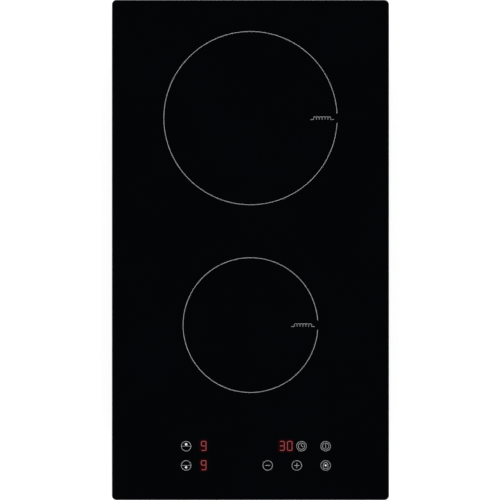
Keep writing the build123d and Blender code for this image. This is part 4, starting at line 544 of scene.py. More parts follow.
def mains_leads(name, tones):
    """Brown, blue, and green with a yellow stripe, told apart by their place along the width."""
    material, tree, shader, where = start_material(name, Roughness=0.4)
    low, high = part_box("mains_wires")
    share = spread(tree, along_axes(tree, where)["X"], low.x, high.x)
    bands = add_node(tree, "ShaderNodeValToRGB", {"Fac": share})
    bands.color_ramp.interpolation = "CONSTANT"
    stops = ((0.0, tones.live), (0.23, tones.neutral), (0.70, tones.earth), (0.958, tones.earth_stripe))
    fill_ramp(bands.color_ramp, stops)
    tree.links.new(bands.outputs[0], shader.inputs["Base Color"])
    return material


def ink(name, rgb):
    """Fired ceramic ink: slightly uneven cover and a dull surface."""
    return grained(name, shade(rgb, 0.94), shade(rgb, 1.05), drift=900.0, grain=2600.0, rough=(0.38, 0.52),
                   depth=0.000004, Specular_IOR_Level=0.35)


def give_finish(material, *names):
    """Puts a finish on pieces of the frame."""
    for name in names:
        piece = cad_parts[name]
        if not piece.material_slots:
            piece.data.materials.append(material)
        for place in piece.material_slots:
            place.material = material


def new_piece(name, shape, material, body=HOB):
    """Makes a finished shape a piece that moves with a body."""
    bmesh.ops.recalc_face_normals(shape, faces=shape.faces)
    mesh = bpy.data.meshes.new(name)
    shape.to_mesh(mesh)
    shape.free()
    mesh.materials.append(material)
    piece = bpy.data.objects.new(name, mesh)
    bpy.context.scene.collection.objects.link(piece)
    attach(piece, body)
    return piece


def print_levels(settings, lifts=0):
    """Bottom and top of the print on the glass, lifted where a stroke crosses others."""
    return GLASS_TOP - PRINT_ROOT, GLASS_TOP + settings.print_height + lifts * CROSSING_LIFT


def add_arc(shape, centre, radius, width, levels, start=0.0, sweep=math.tau):
    """A flat line along an arc about an upright axis."""
    out = flat(math.cos(start), math.sin(start))
    corners = []
    for reach, level in ((-1, 0), (1, 0), (1, 1), (-1, 1)):
        corners.append(centre + out * (radius + reach * width / 2) + UPWARD * levels[level])
    verts = [shape.verts.new(corner) for corner in corners]
    edges = [shape.edges.new((verts[index - 1], verts[index])) for index in range(4)]
    closed = math.isclose(sweep, math.tau)
    steps = max(ARC_LEAST_STEPS, round(sweep * radius / ARC_STEP))
    bmesh.ops.spin(shape, geom=verts + edges, cent=centre, axis=UPWARD, angle=sweep, steps=steps,
                   use_merge=closed, use_duplicate=False)
    if not closed:
        bmesh.ops.holes_fill(shape, edges=[edge for edge in shape.edges if edge.is_boundary], sides=4)


def add_block(shape, place, axis, corner, steps):
    """A block that a matrix sizes and places, with the four edges along one axis rounded."""
    made = bmesh.ops.create_cube(shape, size=1.0, matrix=place)["verts"]
    rounded = []
    for edge in dict.fromkeys(edge for vert in made for edge in vert.link_edges):
        if (edge.verts[0].co - edge.verts[1].co).cross(axis).length < SAME_PLACE:
            rounded.append(edge)
    bmesh.ops.bevel(shape, geom=rounded, offset=corner, offset_type="OFFSET", segments=steps, profile=0.5,
                    affect="EDGES", material=-1)


def add_bar(shape, start, end, width, levels, corner_steps=4):
    """A flat stroke between two points, with round ends, or pointed ones where a corner has one step."""
    along = end - start
    middle = (start + end) / 2 + UPWARD * (sum(levels) / 2)
    turn = Matrix.Rotation(math.atan2(along.y, along.x), 4, "Z")
    size = Matrix.Diagonal((along.length + width * STROKE_OVERRUN, width, levels[1] - levels[0], 1.0))
    add_block(shape, Matrix.Translation(middle) @ turn @ size, UPWARD, width * STROKE_CORNER, corner_steps)


def add_dot(shape, centre, radius, levels, sides=40):
    """A filled flat mark: round, or square where it has four sides."""
    place = Matrix.Translation(centre + UPWARD * (sum(levels) / 2))
    bmesh.ops.create_cone(shape, cap_ends=True, cap_tris=False, segments=sides, depth=levels[1] - levels[0],
                          radius1=radius, radius2=radius, matrix=place)


def digit_places(context):
    """Middle of each lit digit, by its piece's name."""
    settings = context.scene.hob_display
    rear = context.scene.hob_print.rear_row + settings.digit_rise
    front = context.scene.hob_print.front_row + settings.digit_rise
    return {
        "rear_level_digit": flat(settings.level_x, rear),
        "front_level_digit": flat(settings.level_x, front),
        "timer_tens_digit": flat(settings.tens_x, rear),
        "timer_units_digit": flat(settings.units_x, rear),
    }


class HOB_OT_glass_top(bpy.types.Operator):
    """Polish the black glass-ceramic plate."""
    bl_idname = "hob.glass_top"
    bl_label = "Glass plate"
    # Depth below the top from which the rim of the glass is ground instead of polished
    GROUND_EDGE = 0.0001

    def execute(self, context):
        tone = context.scene.hob_finish.glass
        material, tree, shader, where = start_material(
            "Black glass-ceramic", IOR=1.52, Emission_Strength=1.0)
        tint = drifting_colour(tree, where, scale=14.0, first=tone, second=shade(tone, 1.15))
        tree.links.new(tint, shader.inputs["Base Color"])
        polish = place_group(tree, "Fine grain", Vector=where, Scale=60.0, Low=0.025, High=0.05)
        ground = place_group(tree, "Fine grain", Vector=where, Scale=1400.0, Low=0.66, High=0.86)
        edge = spread(tree, along_axes(tree, where)["Z"], GLASS_TOP - self.GROUND_EDGE,
                      GLASS_TOP - self.GROUND_EDGE / 2)
        gloss = mix_values(tree, edge, ground["Value"], polish["Value"])
        tree.links.new(gloss, shader.inputs["Roughness"])
        tree.links.new(self.glow(context, tree, where), shader.inputs["Emission Color"])
        give_finish(material, "glass_top")
        return {"FINISHED"}

    @staticmethod
    def glow(context, tree, where):
        """Red light that spreads in the glass around the lit digits."""
        settings = context.scene.hob_display
        reach = flat(settings.digit_width / 2, settings.digit_height / 2) + UPWARD
        nearest = None
        for centre in digit_places(context).values():
            offset = combine_vectors(tree, "SUBTRACT", where, centre)
            offset = combine_vectors(tree, "ABSOLUTE", offset)
            offset = combine_vectors(tree, "SUBTRACT", offset, reach)
            away = vector_length(tree, combine_vectors(tree, "MAXIMUM", offset))
            nearest = combine(tree, "MINIMUM", nearest, away) if nearest else away
        fall = spread(tree, nearest, settings.glow_reach, 0.0, smooth=True)
        return mix_colours(tree, fall, BLACK, opaque(settings.glow))


class HOB_OT_zone_print(bpy.types.Operator):
    """Print the two cooking zones: a ring with a break and a coil sign beside the break."""
    bl_idname = "hob.zone_print"
    bl_label = "Zone rings"
    # Width of the coil sign's lines as a share of the ring's
    SIGN_LINE = 0.8

    def execute(self, context):
        settings = context.scene.hob_print
        material = ink("Grey ring ink", settings.ring_ink)
        zones = (("rear_zone_print", "rear_mica_sheet", settings.rear_ring),
                 ("front_zone_print", "front_mica_sheet", settings.front_ring))
        for name, under, diameter in zones:
            centre = middle_of(under)
            radius = diameter / 2
            half = math.asin(settings.ring_break / diameter)
            sweep = math.tau - 2 * half
            shape = bmesh.new()
            add_arc(shape, centre, radius, settings.ring_line, print_levels(settings), half, sweep)
            self.add_coil_sign(shape, centre + flat(radius - settings.coil_sign_inset, 0), settings)
            new_piece(name, shape, material)
        return {"FINISHED"}

    def add_coil_sign(self, shape, centre, settings):
        """A row of upright turns between two straight leads, each as long as a turn."""
        turn = settings.coil_sign_width / (settings.coil_sign_turns + 2)
        floor = -settings.coil_sign_height / 2
        shoulder = settings.coil_sign_height / 2 - turn / 2
        reach = turn * settings.coil_sign_turns / 2
        line = settings.ring_line * self.SIGN_LINE
        levels = print_levels(settings)
        raised = print_levels(settings, 1)
        for index in range(settings.coil_sign_turns):
            middle = centre + flat((index + 0.5) * turn - reach, shoulder)
            add_arc(shape, middle, turn / 2, line, levels, 0.0, math.pi)
        for index in range(settings.coil_sign_turns + 1):
            x = index * turn - reach
            add_bar(shape, centre + flat(x, floor), centre + flat(x, shoulder), line, raised)
        for side in (-1, 1):
            near = centre + flat(side * reach, floor)
            add_bar(shape, near, near + flat(side * turn, 0), line, levels)


class KeySymbols:
    """The symbols of the touch keys, each drawn about the middle of its key."""
    # Shares of the radius of a key's circle
    MARK_PLACE = 0.38
    ROUND_MARK = 0.25
    SQUARE_MARK = 0.29
    SIGN_ARM = 0.48
    INNER_RING = 0.66
    POWER_BAR = 0.40
    LOCK_HALF = 0.48
    LOCK_FLOOR = 0.60
    LOCK_WAIST = 0.12
    KEYHOLE = 0.19
    # Shares of the radius of the clock's ring
    MINUTE_HAND = 0.78
    HOUR_HAND = (0.52, -0.20)
    # Shares of the width of a key's lines
    BOLD = 1.2
    FINE = 0.8
    LOCK_FLOOR_LINE = 0.9
    LOCK_WAIST_LINE = 0.7

    def __init__(self, settings):
        self.settings = settings
        self.radius = settings.key_circle / 2
        self.lines = bmesh.new()
        self.marks = bmesh.new()

    def ring(self, centre, radius, line=1.0, sweep=math.tau):
        """A ring, or the rear part of one."""
        width = self.settings.key_line * line
        add_arc(self.lines, centre, radius, width, print_levels(self.settings), sweep=sweep)

    def stroke(self, start, end, line=1.0, lifts=0):
        """A straight stroke."""
        width = self.settings.key_line * line
        add_bar(self.lines, start, end, width, print_levels(self.settings, lifts))

    def mark(self, centre, share, lifts=0, sides=40):
        """A filled mark."""
        add_dot(self.marks, centre, self.radius * share, print_levels(self.settings, lifts), sides)

    def line_across(self, centre):
        """The line that parts a selector key into the rear and the front zone."""
        reach = flat(self.radius - self.settings.key_line, 0)
        self.stroke(centre - reach, centre + reach, self.FINE)

    def rear_selector(self, centre):
        """A line across, and a round mark on the rear zone's side."""
        self.line_across(centre)
        self.mark(centre + flat(0, self.radius * self.MARK_PLACE), self.ROUND_MARK)

    def front_selector(self, centre):
        """A line across, and a square mark on the front zone's side."""
        self.line_across(centre)
        self.mark(centre - flat(0, self.radius * self.MARK_PLACE), self.SQUARE_MARK, sides=4)

    def minus(self, centre):
        """A minus."""
        across = flat(self.radius * self.SIGN_ARM, 0)
        self.stroke(centre - across, centre + across, self.BOLD)

    def plus(self, centre):
        """A plus."""
        self.minus(centre)
        upright = flat(0, self.radius * self.SIGN_ARM)
        self.stroke(centre - upright, centre + upright, self.BOLD, 1)

    def timer(self, centre):
        """A clock face with two hands."""
        inner = self.radius * self.INNER_RING
        self.ring(centre, inner)
        self.stroke(centre, centre + flat(0, inner * self.MINUTE_HAND))
        self.stroke(centre, centre + inner * flat(*self.HOUR_HAND), lifts=1)

    def power(self, centre):
        """A ring with an upright bar."""
        self.ring(centre, self.radius * self.INNER_RING)
        half_bar = flat(0, self.radius * self.POWER_BAR)
        self.stroke(centre - half_bar, centre + half_bar, self.BOLD)

    def lock(self, centre):
        """A padlock: shackle, body and keyhole."""
        half = self.radius * self.LOCK_HALF
        floor = -self.radius * self.LOCK_FLOOR
        waist = self.radius * self.LOCK_WAIST
        self.ring(centre + flat(0, waist), half, self.BOLD, math.pi)
        for side in (-half, half):
            self.stroke(centre + flat(side, waist), centre + flat(side, floor), lifts=1)
        for level, line in ((floor, self.LOCK_FLOOR_LINE), (waist, self.LOCK_WAIST_LINE)):
            self.stroke(centre + flat(-half, level), centre + flat(half, level), line)
        self.mark(centre, self.KEYHOLE, lifts=2)


class HOB_OT_key_print(bpy.types.Operator):
    """Print the touch keys: zone selectors, minus, plus, timer, power and lock."""
    bl_idname = "hob.key_print"
    bl_label = "Touch keys"

    def execute(self, context):
        settings = context.scene.hob_print
        symbols = KeySymbols(settings)
        keys = (
            (symbols.rear_selector, flat(settings.selector_x, settings.rear_row)),
            (symbols.front_selector, flat(settings.selector_x, settings.front_row)),
            (symbols.minus, flat(settings.minus_x, settings.front_row)),
            (symbols.plus, flat(settings.plus_x, settings.front_row)),
            (symbols.timer, flat(settings.timer_x, settings.rear_row)),
            (symbols.power, flat(settings.power_x, settings.rear_row)),
            (symbols.lock, flat(settings.power_x, settings.front_row)),
        )
        for draw_symbol, centre in keys:
            symbols.ring(centre, symbols.radius)
            draw_symbol(centre)
        new_piece("key_lines", symbols.lines, ink("Pale key ink", settings.key_ink))
        new_piece("key_marks", symbols.marks, ink("White mark ink", settings.mark_ink))
        return {"FINISHED"}


class HOB_OT_lit_digits(bpy.types.Operator):
    """Light the seven-segment digits in the glass."""
    bl_idname = "hob.lit_digits"
    bl_label = "Lit digits"
    # Both ends of each stroke, as shares of a digit's width and height
    SEGMENTS = {
        "a": ((-0.5, 0.5), (0.5, 0.5)),
        "b": ((0.5, 0.5), (0.5, 0.0)),
        "c": ((0.5, 0.0), (0.5, -0.5)),
        "d": ((-0.5, -0.5), (0.5, -0.5)),
        "e": ((-0.5, -0.5), (-0.5, 0.0)),
        "f": ((-0.5, 0.0), (-0.5, 0.5)),
        "g": ((-0.5, 0.0), (0.5, 0.0)),
    }
    DIGITS = {"9": "abcdfg", "3": "abcdg", "0": "abcdef"}
    SHOWN = {
        "rear_level_digit": "9",
        "front_level_digit": "9",
        "timer_tens_digit": "3",
        "timer_units_digit": "0",
    }

    def execute(self, context):
        settings = context.scene.hob_display
        lit = self.lit_strokes(settings)
        levels = print_levels(context.scene.hob_print)
        for name, centre in digit_places(context).items():
            shape = bmesh.new()
            for segment in self.DIGITS[self.SHOWN[name]]:
                self.add_stroke(shape, centre, self.SEGMENTS[segment], settings, levels)
            new_piece(name, shape, lit)
        return {"FINISHED"}

    @staticmethod
    def add_stroke(shape, centre, ends, settings, levels):
        """One pointed stroke of a digit, kept clear of its neighbours."""
        start, end = [centre + flat(x * settings.digit_width, y * settings.digit_height) for x, y in ends]
        inset = (end - start).normalized() * (settings.stroke / 2 + settings.stroke_break)
        add_bar(shape, start + inset, end - inset, settings.stroke, levels, corner_steps=1)

    @staticmethod
    def lit_strokes(settings):
        """Light that is a little uneven along a stroke."""
        material, tree, shader, where = start_material(
            "Lit red strokes", Emission_Strength=1.0, Roughness=0.3, Base_Color=opaque(settings.unlit))
        light = drifting_colour(tree, where, scale=500.0, first=settings.lit_edge, second=settings.lit_core)
        tree.links.new(light, shader.inputs["Emission Color"])
        return material


class HOB_OT_steel_tray(bpy.types.Operator):
    """Give the tray, rails, brackets and screws their zinc, and the seal its foam."""
    bl_idname = "hob.steel_tray"
    bl_label = "Steel tray"

    def execute(self, context):
        tones = context.scene.hob_finish
        sheet = galvanised("Galvanised sheet", tones.zinc_dark, tones.zinc_light, crystals=150.0)
        give_finish(sheet, "base_tray", "glass_rails")
        brackets = galvanised("Galvanised brackets", shade(tones.zinc_dark, 1.05), tones.zinc_light,
                              crystals=320.0)
        give_finish(brackets, "bracket_front_left", "bracket_front_right", "bracket_rear_left",
                    "bracket_rear_right")
        screws = grained("Bright zinc", tones.screw, shade(tones.screw, 0.86), drift=260.0, grain=900.0,
                         rough=(0.20, 0.36), depth=0.00001, Metallic=1.0)
        give_finish(screws, "case_screws", "floor_screws", "bracket_screws", "bracket_nuts", "fan_screws",
                    "board_screws", "plate_screws", "cover_hinge_pin", "fan_shaft")
        foam = grained("Closed-cell foam", tones.rubber, shade(tones.rubber, 2.0), drift=300.0,
                       grain=1500.0, rough=(0.82, 0.98), depth=0.0003, Specular_IOR_Level=0.25)
        give_finish(foam, "worktop_seal")
        bond = grained("Grey silicone", tones.silicone, shade(tones.silicone, 1.21), drift=120.0,
                       grain=700.0, rough=(0.42, 0.6), depth=0.00004)
        give_finish(bond, "glass_bond")
        return {"FINISHED"}


class HOB_OT_coil_windings(bpy.types.Operator):
    """Wind each coil from twisted strand, as a spiral with both tails turned down."""
    bl_idname = "hob.coil_windings"
    bl_label = "Coil windings"
    # Points of a tail's bend, as shares of a quarter turn
    BEND_POINTS = (0.0, 0.35, 0.7)
    # Points of the strand's outline for each bundle, and the radius share of the one in the groove
    BUNDLE_POINTS = 3
    GROOVE = 0.80

    def execute(self, context):
        settings = context.scene.hob_coil
        tone = context.scene.hob_finish.copper
        strand = grained("Enamelled copper strand", tone, shade(tone, 0.78), drift=700.0, grain=1800.0,
                         rough=(0.26, 0.42), depth=0.00002, Metallic=1.0, Coat_Weight=0.35)
        for name in ("rear_coil_winding", "front_coil_winding"):
            shape = self.strand_shape(settings, self.wire_points(settings, name))
            piece = new_piece(name.replace("winding", "strand"), shape, strand)
            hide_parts(name)
        return {"FINISHED"}

    def wire_points(self, settings, name):
        """Points along the wire: up a tail, round in half turns about two middles, and down a tail."""
        low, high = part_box(name)
        centre = middle_of(name.replace("winding", "carrier"))
        level = high.z - settings.wire / 2
        turns = round((high.x - centre.x - settings.wire / 2 - settings.inner_radius) / settings.pitch) + 1
        last = settings.inner_radius + turns * settings.pitch
        points = self.tail_points(centre, -settings.tail, settings.inner_radius, low.z, level)
        for half_turn in range(2 * turns):
            radius = settings.inner_radius + half_turn * settings.pitch / 2
            middle = centre - flat(0, settings.pitch / 2 * (half_turn % 2)) + UPWARD * level
            steps = round(math.pi * radius / settings.step)
            for index in range(steps):
                angle = math.pi * (half_turn + index / steps) - math.pi / 2
                points.append(middle + flat(radius * math.cos(angle), radius * math.sin(angle)))
        points.append(centre + Vector((0, -last, level)))
        points += reversed(self.tail_points(centre, settings.tail, last, low.z, level))
        return points

    def tail_points(self, centre, reach, radius, low, level):
        """Points of a tail, from its lower end up to its bend into the turns."""
        points = [centre + Vector((reach, -radius, low))]
        for share in self.BEND_POINTS:
            angle = share * math.pi / 2
            drop = abs(reach) * (1 - math.sin(angle))
            points.append(centre + Vector((reach * math.cos(angle), -radius, level - drop)))
        return points

    def strand_shape(self, settings, points):
        """The strand's outline drawn along the wire."""
        outline = self.strand_outline(settings)
        path = self.twisted_path(settings, points)
        section = bpy.data.objects.new(outline.name, outline)
        wire = bpy.data.objects.new(path.name, path)
        path.bevel_object = section
        for holder in (section, wire):
            bpy.context.scene.collection.objects.link(holder)
        state = bpy.context.evaluated_depsgraph_get()
        mesh = bpy.data.meshes.new_from_object(wire.evaluated_get(state))
        for curve in (outline, path):
            bpy.data.curves.remove(curve)
        shape = bmesh.new()
        shape.from_mesh(mesh)
        bpy.data.meshes.remove(mesh)
        bmesh.ops.remove_doubles(shape, verts=shape.verts, dist=SAME_PLACE)
        for face in shape.faces:
            face.smooth = True
        return shape

    def strand_outline(self, settings):
        """Outline of the twisted strand: a circle with one lobe for each bundle of wires."""
        outline = bpy.data.curves.new("strand_outline", "CURVE")
        outline.dimensions = "2D"
        spline = outline.splines.new("POLY")
        points = settings.bundles * self.BUNDLE_POINTS
        spline.points.add(points - 1)
        spline.use_cyclic_u = True
        for index in range(points):
            angle = index / points * math.tau
            radius = settings.wire / 2 * (1.0 if index % self.BUNDLE_POINTS else self.GROOVE)
            spline.points[index].co = (radius * math.cos(angle), radius * math.sin(angle), 0.0, 1.0)
        return outline

    @staticmethod
    def twisted_path(settings, points):
        """A curve along the wire that turns its outline round once in each lay."""
        path = bpy.data.curves.new("strand_path", "CURVE")
        path.dimensions = "3D"
        path.bevel_mode = "OBJECT"
        path.use_fill_caps = True
        spline = path.splines.new("POLY")
        spline.points.add(len(points) - 1)
        travelled = 0.0
        before = points[0]
        for knot, point in zip(spline.points, points):
            travelled += (point - before).length
            before = point
            knot.co = (point.x, point.y, point.z, 1.0)
            knot.tilt = travelled / settings.lay % 1.0 * math.tau
        return path


class HOB_OT_coil_supports(bpy.types.Operator):
    """Finish the coil plate, posts, carriers, ferrites, mica and temperature sensors."""
    bl_idname = "hob.coil_supports"
    bl_label = "Coil supports"

    def execute(self, context):
        tones = context.scene.hob_finish
        sheet = brushed("Mill finish aluminium", tones.aluminium, shade(tones.aluminium, 0.86),
                        stretch=(9.0, 700.0, 700.0), rough=(0.26, 0.42))
        give_finish(sheet, "coil_plate", "heatsink")
        posts = brushed("Turned aluminium", tones.aluminium, shade(tones.aluminium, 0.8),
                        stretch=(30.0, 30.0, 1500.0), rough=(0.22, 0.36))
        give_finish(posts, "plate_posts", "board_standoffs")
        carriers = grained("Glass-filled moulding", tones.carrier, shade(tones.carrier, 1.48), drift=900.0,
                           grain=1300.0, rough=(0.45, 0.62), depth=0.00003)
        give_finish(carriers, "front_coil_carrier", "rear_coil_carrier")
        ferrite = grained("Fired ferrite", tones.ferrite, shade(tones.ferrite, 1.59), drift=700.0,
                          grain=1600.0, rough=(0.62, 0.8), depth=0.00005)
        give_finish(ferrite, "front_ferrites", "rear_ferrites")
        mica = grained("Pressed mica", tones.mica, tones.mica_flake, drift=240.0, grain=420.0,
                       rough=(0.28, 0.55), depth=0.00002)
        give_finish(mica, "front_mica_sheet", "rear_mica_sheet")
        sensors = grained("White silicone", tones.sensor, shade(tones.sensor, 1.1), drift=300.0,
                          grain=900.0, rough=(0.5, 0.66), depth=0.00002)
        give_finish(sensors, "temperature_sensors")
        return {"FINISHED"}


class HOB_OT_power_board(bpy.types.Operator):
    """Finish the power board and everything that stands on it."""
    bl_idname = "hob.power_board"
    bl_label = "Power board"

    def execute(self, context):
        tones = context.scene.hob_finish
        board = lacquered_board("Power board lacquer", tones.board, tones.board_pad, grid=400.0)
        give_finish(board, "power_board")
        film = grained("Insulating film", tones.film, shade(tones.film, 1.14), drift=60.0, grain=500.0,
                       rough=(0.22, 0.38))
        give_finish(film, "board_film")
        component = grained("Black component moulding", tones.component, shade(tones.component, 1.6),
                            drift=500.0, grain=1800.0, rough=(0.42, 0.58), depth=0.00002)
        give_finish(component, "power_semiconductors")
        sockets = grained("Pale component moulding", tones.pale_plastic, shade(tones.pale_plastic, 0.9),
                          drift=200.0, grain=1500.0, rough=(0.36, 0.5), depth=0.00001)
        give_finish(sockets, "board_sockets")
        capacitors = grained("Capacitor moulding", tones.film_capacitor, shade(tones.film_capacitor, 1.146),
                             drift=160.0, grain=1400.0, rough=(0.4, 0.55), depth=0.00002)
        give_finish(capacitors, "film_capacitors")
        sleeves = grained("Capacitor sleeve", tones.can_sleeve, shade(tones.can_sleeve, 1.38), drift=300.0,
                          grain=900.0, rough=(0.22, 0.34))
        give_finish(sleeves, "electrolytic_capacitors")
        core = grained("Choke core", tones.core, shade(tones.core, 1.43), drift=700.0, grain=1600.0,
                       rough=(0.6, 0.78), depth=0.00004)
        give_finish(core, "choke_core", "supply_transformer")
        wire = brushed("Choke wire", tones.copper, shade(tones.copper, 0.62), stretch=(2600.0, 12.0, 12.0),
                       rough=(0.26, 0.42), depth=0.00008)
        give_finish(wire, "choke_windings")
        brass = brushed("Turned brass", tones.brass, shade(tones.brass, 0.8), stretch=(40.0, 40.0, 1800.0),
                        rough=(0.2, 0.34))
        give_finish(brass, "coil_studs", "clamp_screws", "fan_bearing")
        return {"FINISHED"}


class HOB_OT_leads(bpy.types.Operator):
    """Colour the sleeves of the leads inside the hob."""
    bl_idname = "hob.leads"
    bl_label = "Leads"

    def execute(self, context):
        tones = context.scene.hob_finish
        sleeve = grained("Woven sleeve", tones.sleeve, shade(tones.sleeve, 1.2), drift=1800.0, grain=2600.0,
                         rough=(0.6, 0.8), depth=0.00006)
        give_finish(sleeve, "coil_leads")
        signal = grained("White lead", tones.signal_lead, shade(tones.signal_lead, 1.12), drift=200.0,
                         grain=1200.0, rough=(0.38, 0.5))
        give_finish(signal, "signal_leads")
        give_finish(ribbon_lead("Ribbon lead", tones.ribbon, tones.ribbon_core), "control_ribbon")
        give_finish(mains_leads("Mains leads", tones), "mains_wires")
        return {"FINISHED"}


class HOB_OT_controls(bpy.types.Operator):
    """Finish the control board, its carrier, touch springs and digit displays."""
    bl_idname = "hob.controls"
    bl_label = "Controls"

    def execute(self, context):
        tones = context.scene.hob_finish
        board = lacquered_board("Control board lacquer", shade(tones.board, 0.8), tones.board_pad,
                                grid=640.0)
        give_finish(board, "control_board")
        carrier = grained("Carrier moulding", tones.pale_plastic, shade(tones.pale_plastic, 0.88),
                          drift=120.0, grain=1500.0, rough=(0.4, 0.55), depth=0.00002)
        give_finish(carrier, "control_carrier")
        springs = brushed("Spring wire", tones.spring_wire, shade(tones.spring_wire, 0.8125),
                          stretch=(400.0, 400.0, 400.0), rough=(0.2, 0.32))
        give_finish(springs, "touch_springs")
        displays = grained("Display moulding", tones.display, shade(tones.display, 1.5), drift=300.0,
                           grain=1500.0, rough=(0.35, 0.5), depth=0.00001)
        give_finish(displays, "digit_displays")
        return {"FINISHED"}


class HOB_OT_fan(bpy.types.Operator):
    """Finish the fan: frame, impeller, rotor magnet and stator."""
    bl_idname = "hob.fan"
    bl_label = "Fan"

    def execute(self, context):
        tones = context.scene.hob_finish
        housing = grained("Fan moulding", tones.plastic, shade(tones.plastic, 1.35), drift=260.0,
                          grain=2200.0, rough=(0.40, 0.56), depth=0.00003)
        give_finish(housing, "fan_frame")
        impeller = grained("Impeller moulding", shade(tones.plastic, 1.15), shade(tones.plastic, 1.5),
                           drift=200.0, grain=1600.0, rough=(0.30, 0.44), depth=0.00001)
        give_finish(impeller, "fan_impeller")
        magnet = grained("Bonded magnet", tones.magnet, shade(tones.magnet, 1.5), drift=500.0, grain=1500.0,
                         rough=(0.55, 0.7), depth=0.00003)
        give_finish(magnet, "fan_magnet")
        stator = brushed("Stator wire", tones.copper, shade(tones.copper, 0.6),
                         stretch=(60.0, 60.0, 2600.0), rough=(0.28, 0.44), depth=0.00008)
        give_finish(stator, "fan_stator")
        return {"FINISHED"}


class HOB_OT_terminals(bpy.types.Operator):
    """Finish the terminal box, its cover and block, and the cable bush."""
    bl_idname = "hob.terminals"
    bl_label = "Terminals"

    def execute(self, context):
        tones = context.scene.hob_finish
        box = grained("Terminal moulding", tones.plastic, shade(tones.plastic, 1.4), drift=200.0,
                      grain=1900.0, rough=(0.46, 0.62), depth=0.00004)
        give_finish(box, "terminal_box", "terminal_cover")
        block = grained("Block moulding", tones.pale_plastic, shade(tones.pale_plastic, 0.92), drift=200.0,
                        grain=1500.0, rough=(0.38, 0.52), depth=0.00001)
        give_finish(block, "terminal_block")
        bush = grained("Bush rubber", tones.rubber, shade(tones.rubber, 1.5), drift=300.0, grain=1300.0,
                       rough=(0.58, 0.74), depth=0.00005)
        give_finish(bush, "cable_grommet")
        return {"FINISHED"}


class HOB_OT_blank_plate(bpy.types.Operator):
    """Rivet a blank aluminium plate to the rear wall of the tray."""
    bl_idname = "hob.blank_plate"
    bl_label = "Blank plate"
    CORNER_STEPS = 6
    RIVET_SIDES = 24
    # Shares of the radius of a rivet's head: its place from the plate's edges, its height and its top
    RIVET_INSET = 2.2
    RIVET_HEIGHT = 0.4
    RIVET_TOP = 0.62

    def execute(self, context):
        settings = context.scene.hob_plate
        tone = context.scene.hob_finish.aluminium
        material = brushed("Anodised plate", tone, shade(tone, 0.9), stretch=(8.0, 700.0, 700.0),
                           rough=(0.3, 0.44))
        shape = bmesh.new()
        centre = Vector((settings.middle_x, TRAY_REAR + settings.thickness / 2, settings.middle_z))
        size = Matrix.Diagonal((settings.width, settings.thickness, settings.height, 1.0))
        add_block(shape, Matrix.Translation(centre) @ size, REARWARD, settings.corner, self.CORNER_STEPS)
        for side_x in (-1, 1):
            for side_z in (-1, 1):
                self.add_rivet(shape, settings, side_x, side_z)
        new_piece("blank_plate", shape, material)
        return {"FINISHED"}

    def add_rivet(self, shape, settings, side_x, side_z):
        """The head of a rivet in one corner of the plate."""
        inset = settings.rivet * self.RIVET_INSET
        height = settings.rivet * self.RIVET_HEIGHT
        x = settings.middle_x + side_x * (settings.width / 2 - inset)
        y = TRAY_REAR + settings.thickness + height / 2
        z = settings.middle_z + side_z * (settings.height / 2 - inset)
        place = Matrix.Translation((x, y, z)) @ Matrix.Rotation(-math.pi / 2, 4, "X")
        bmesh.ops.create_cone(shape, cap_ends=True, cap_tris=False, segments=self.RIVET_SIDES, depth=height,
                              radius1=settings.rivet, radius2=settings.rivet * self.RIVET_TOP, matrix=place)


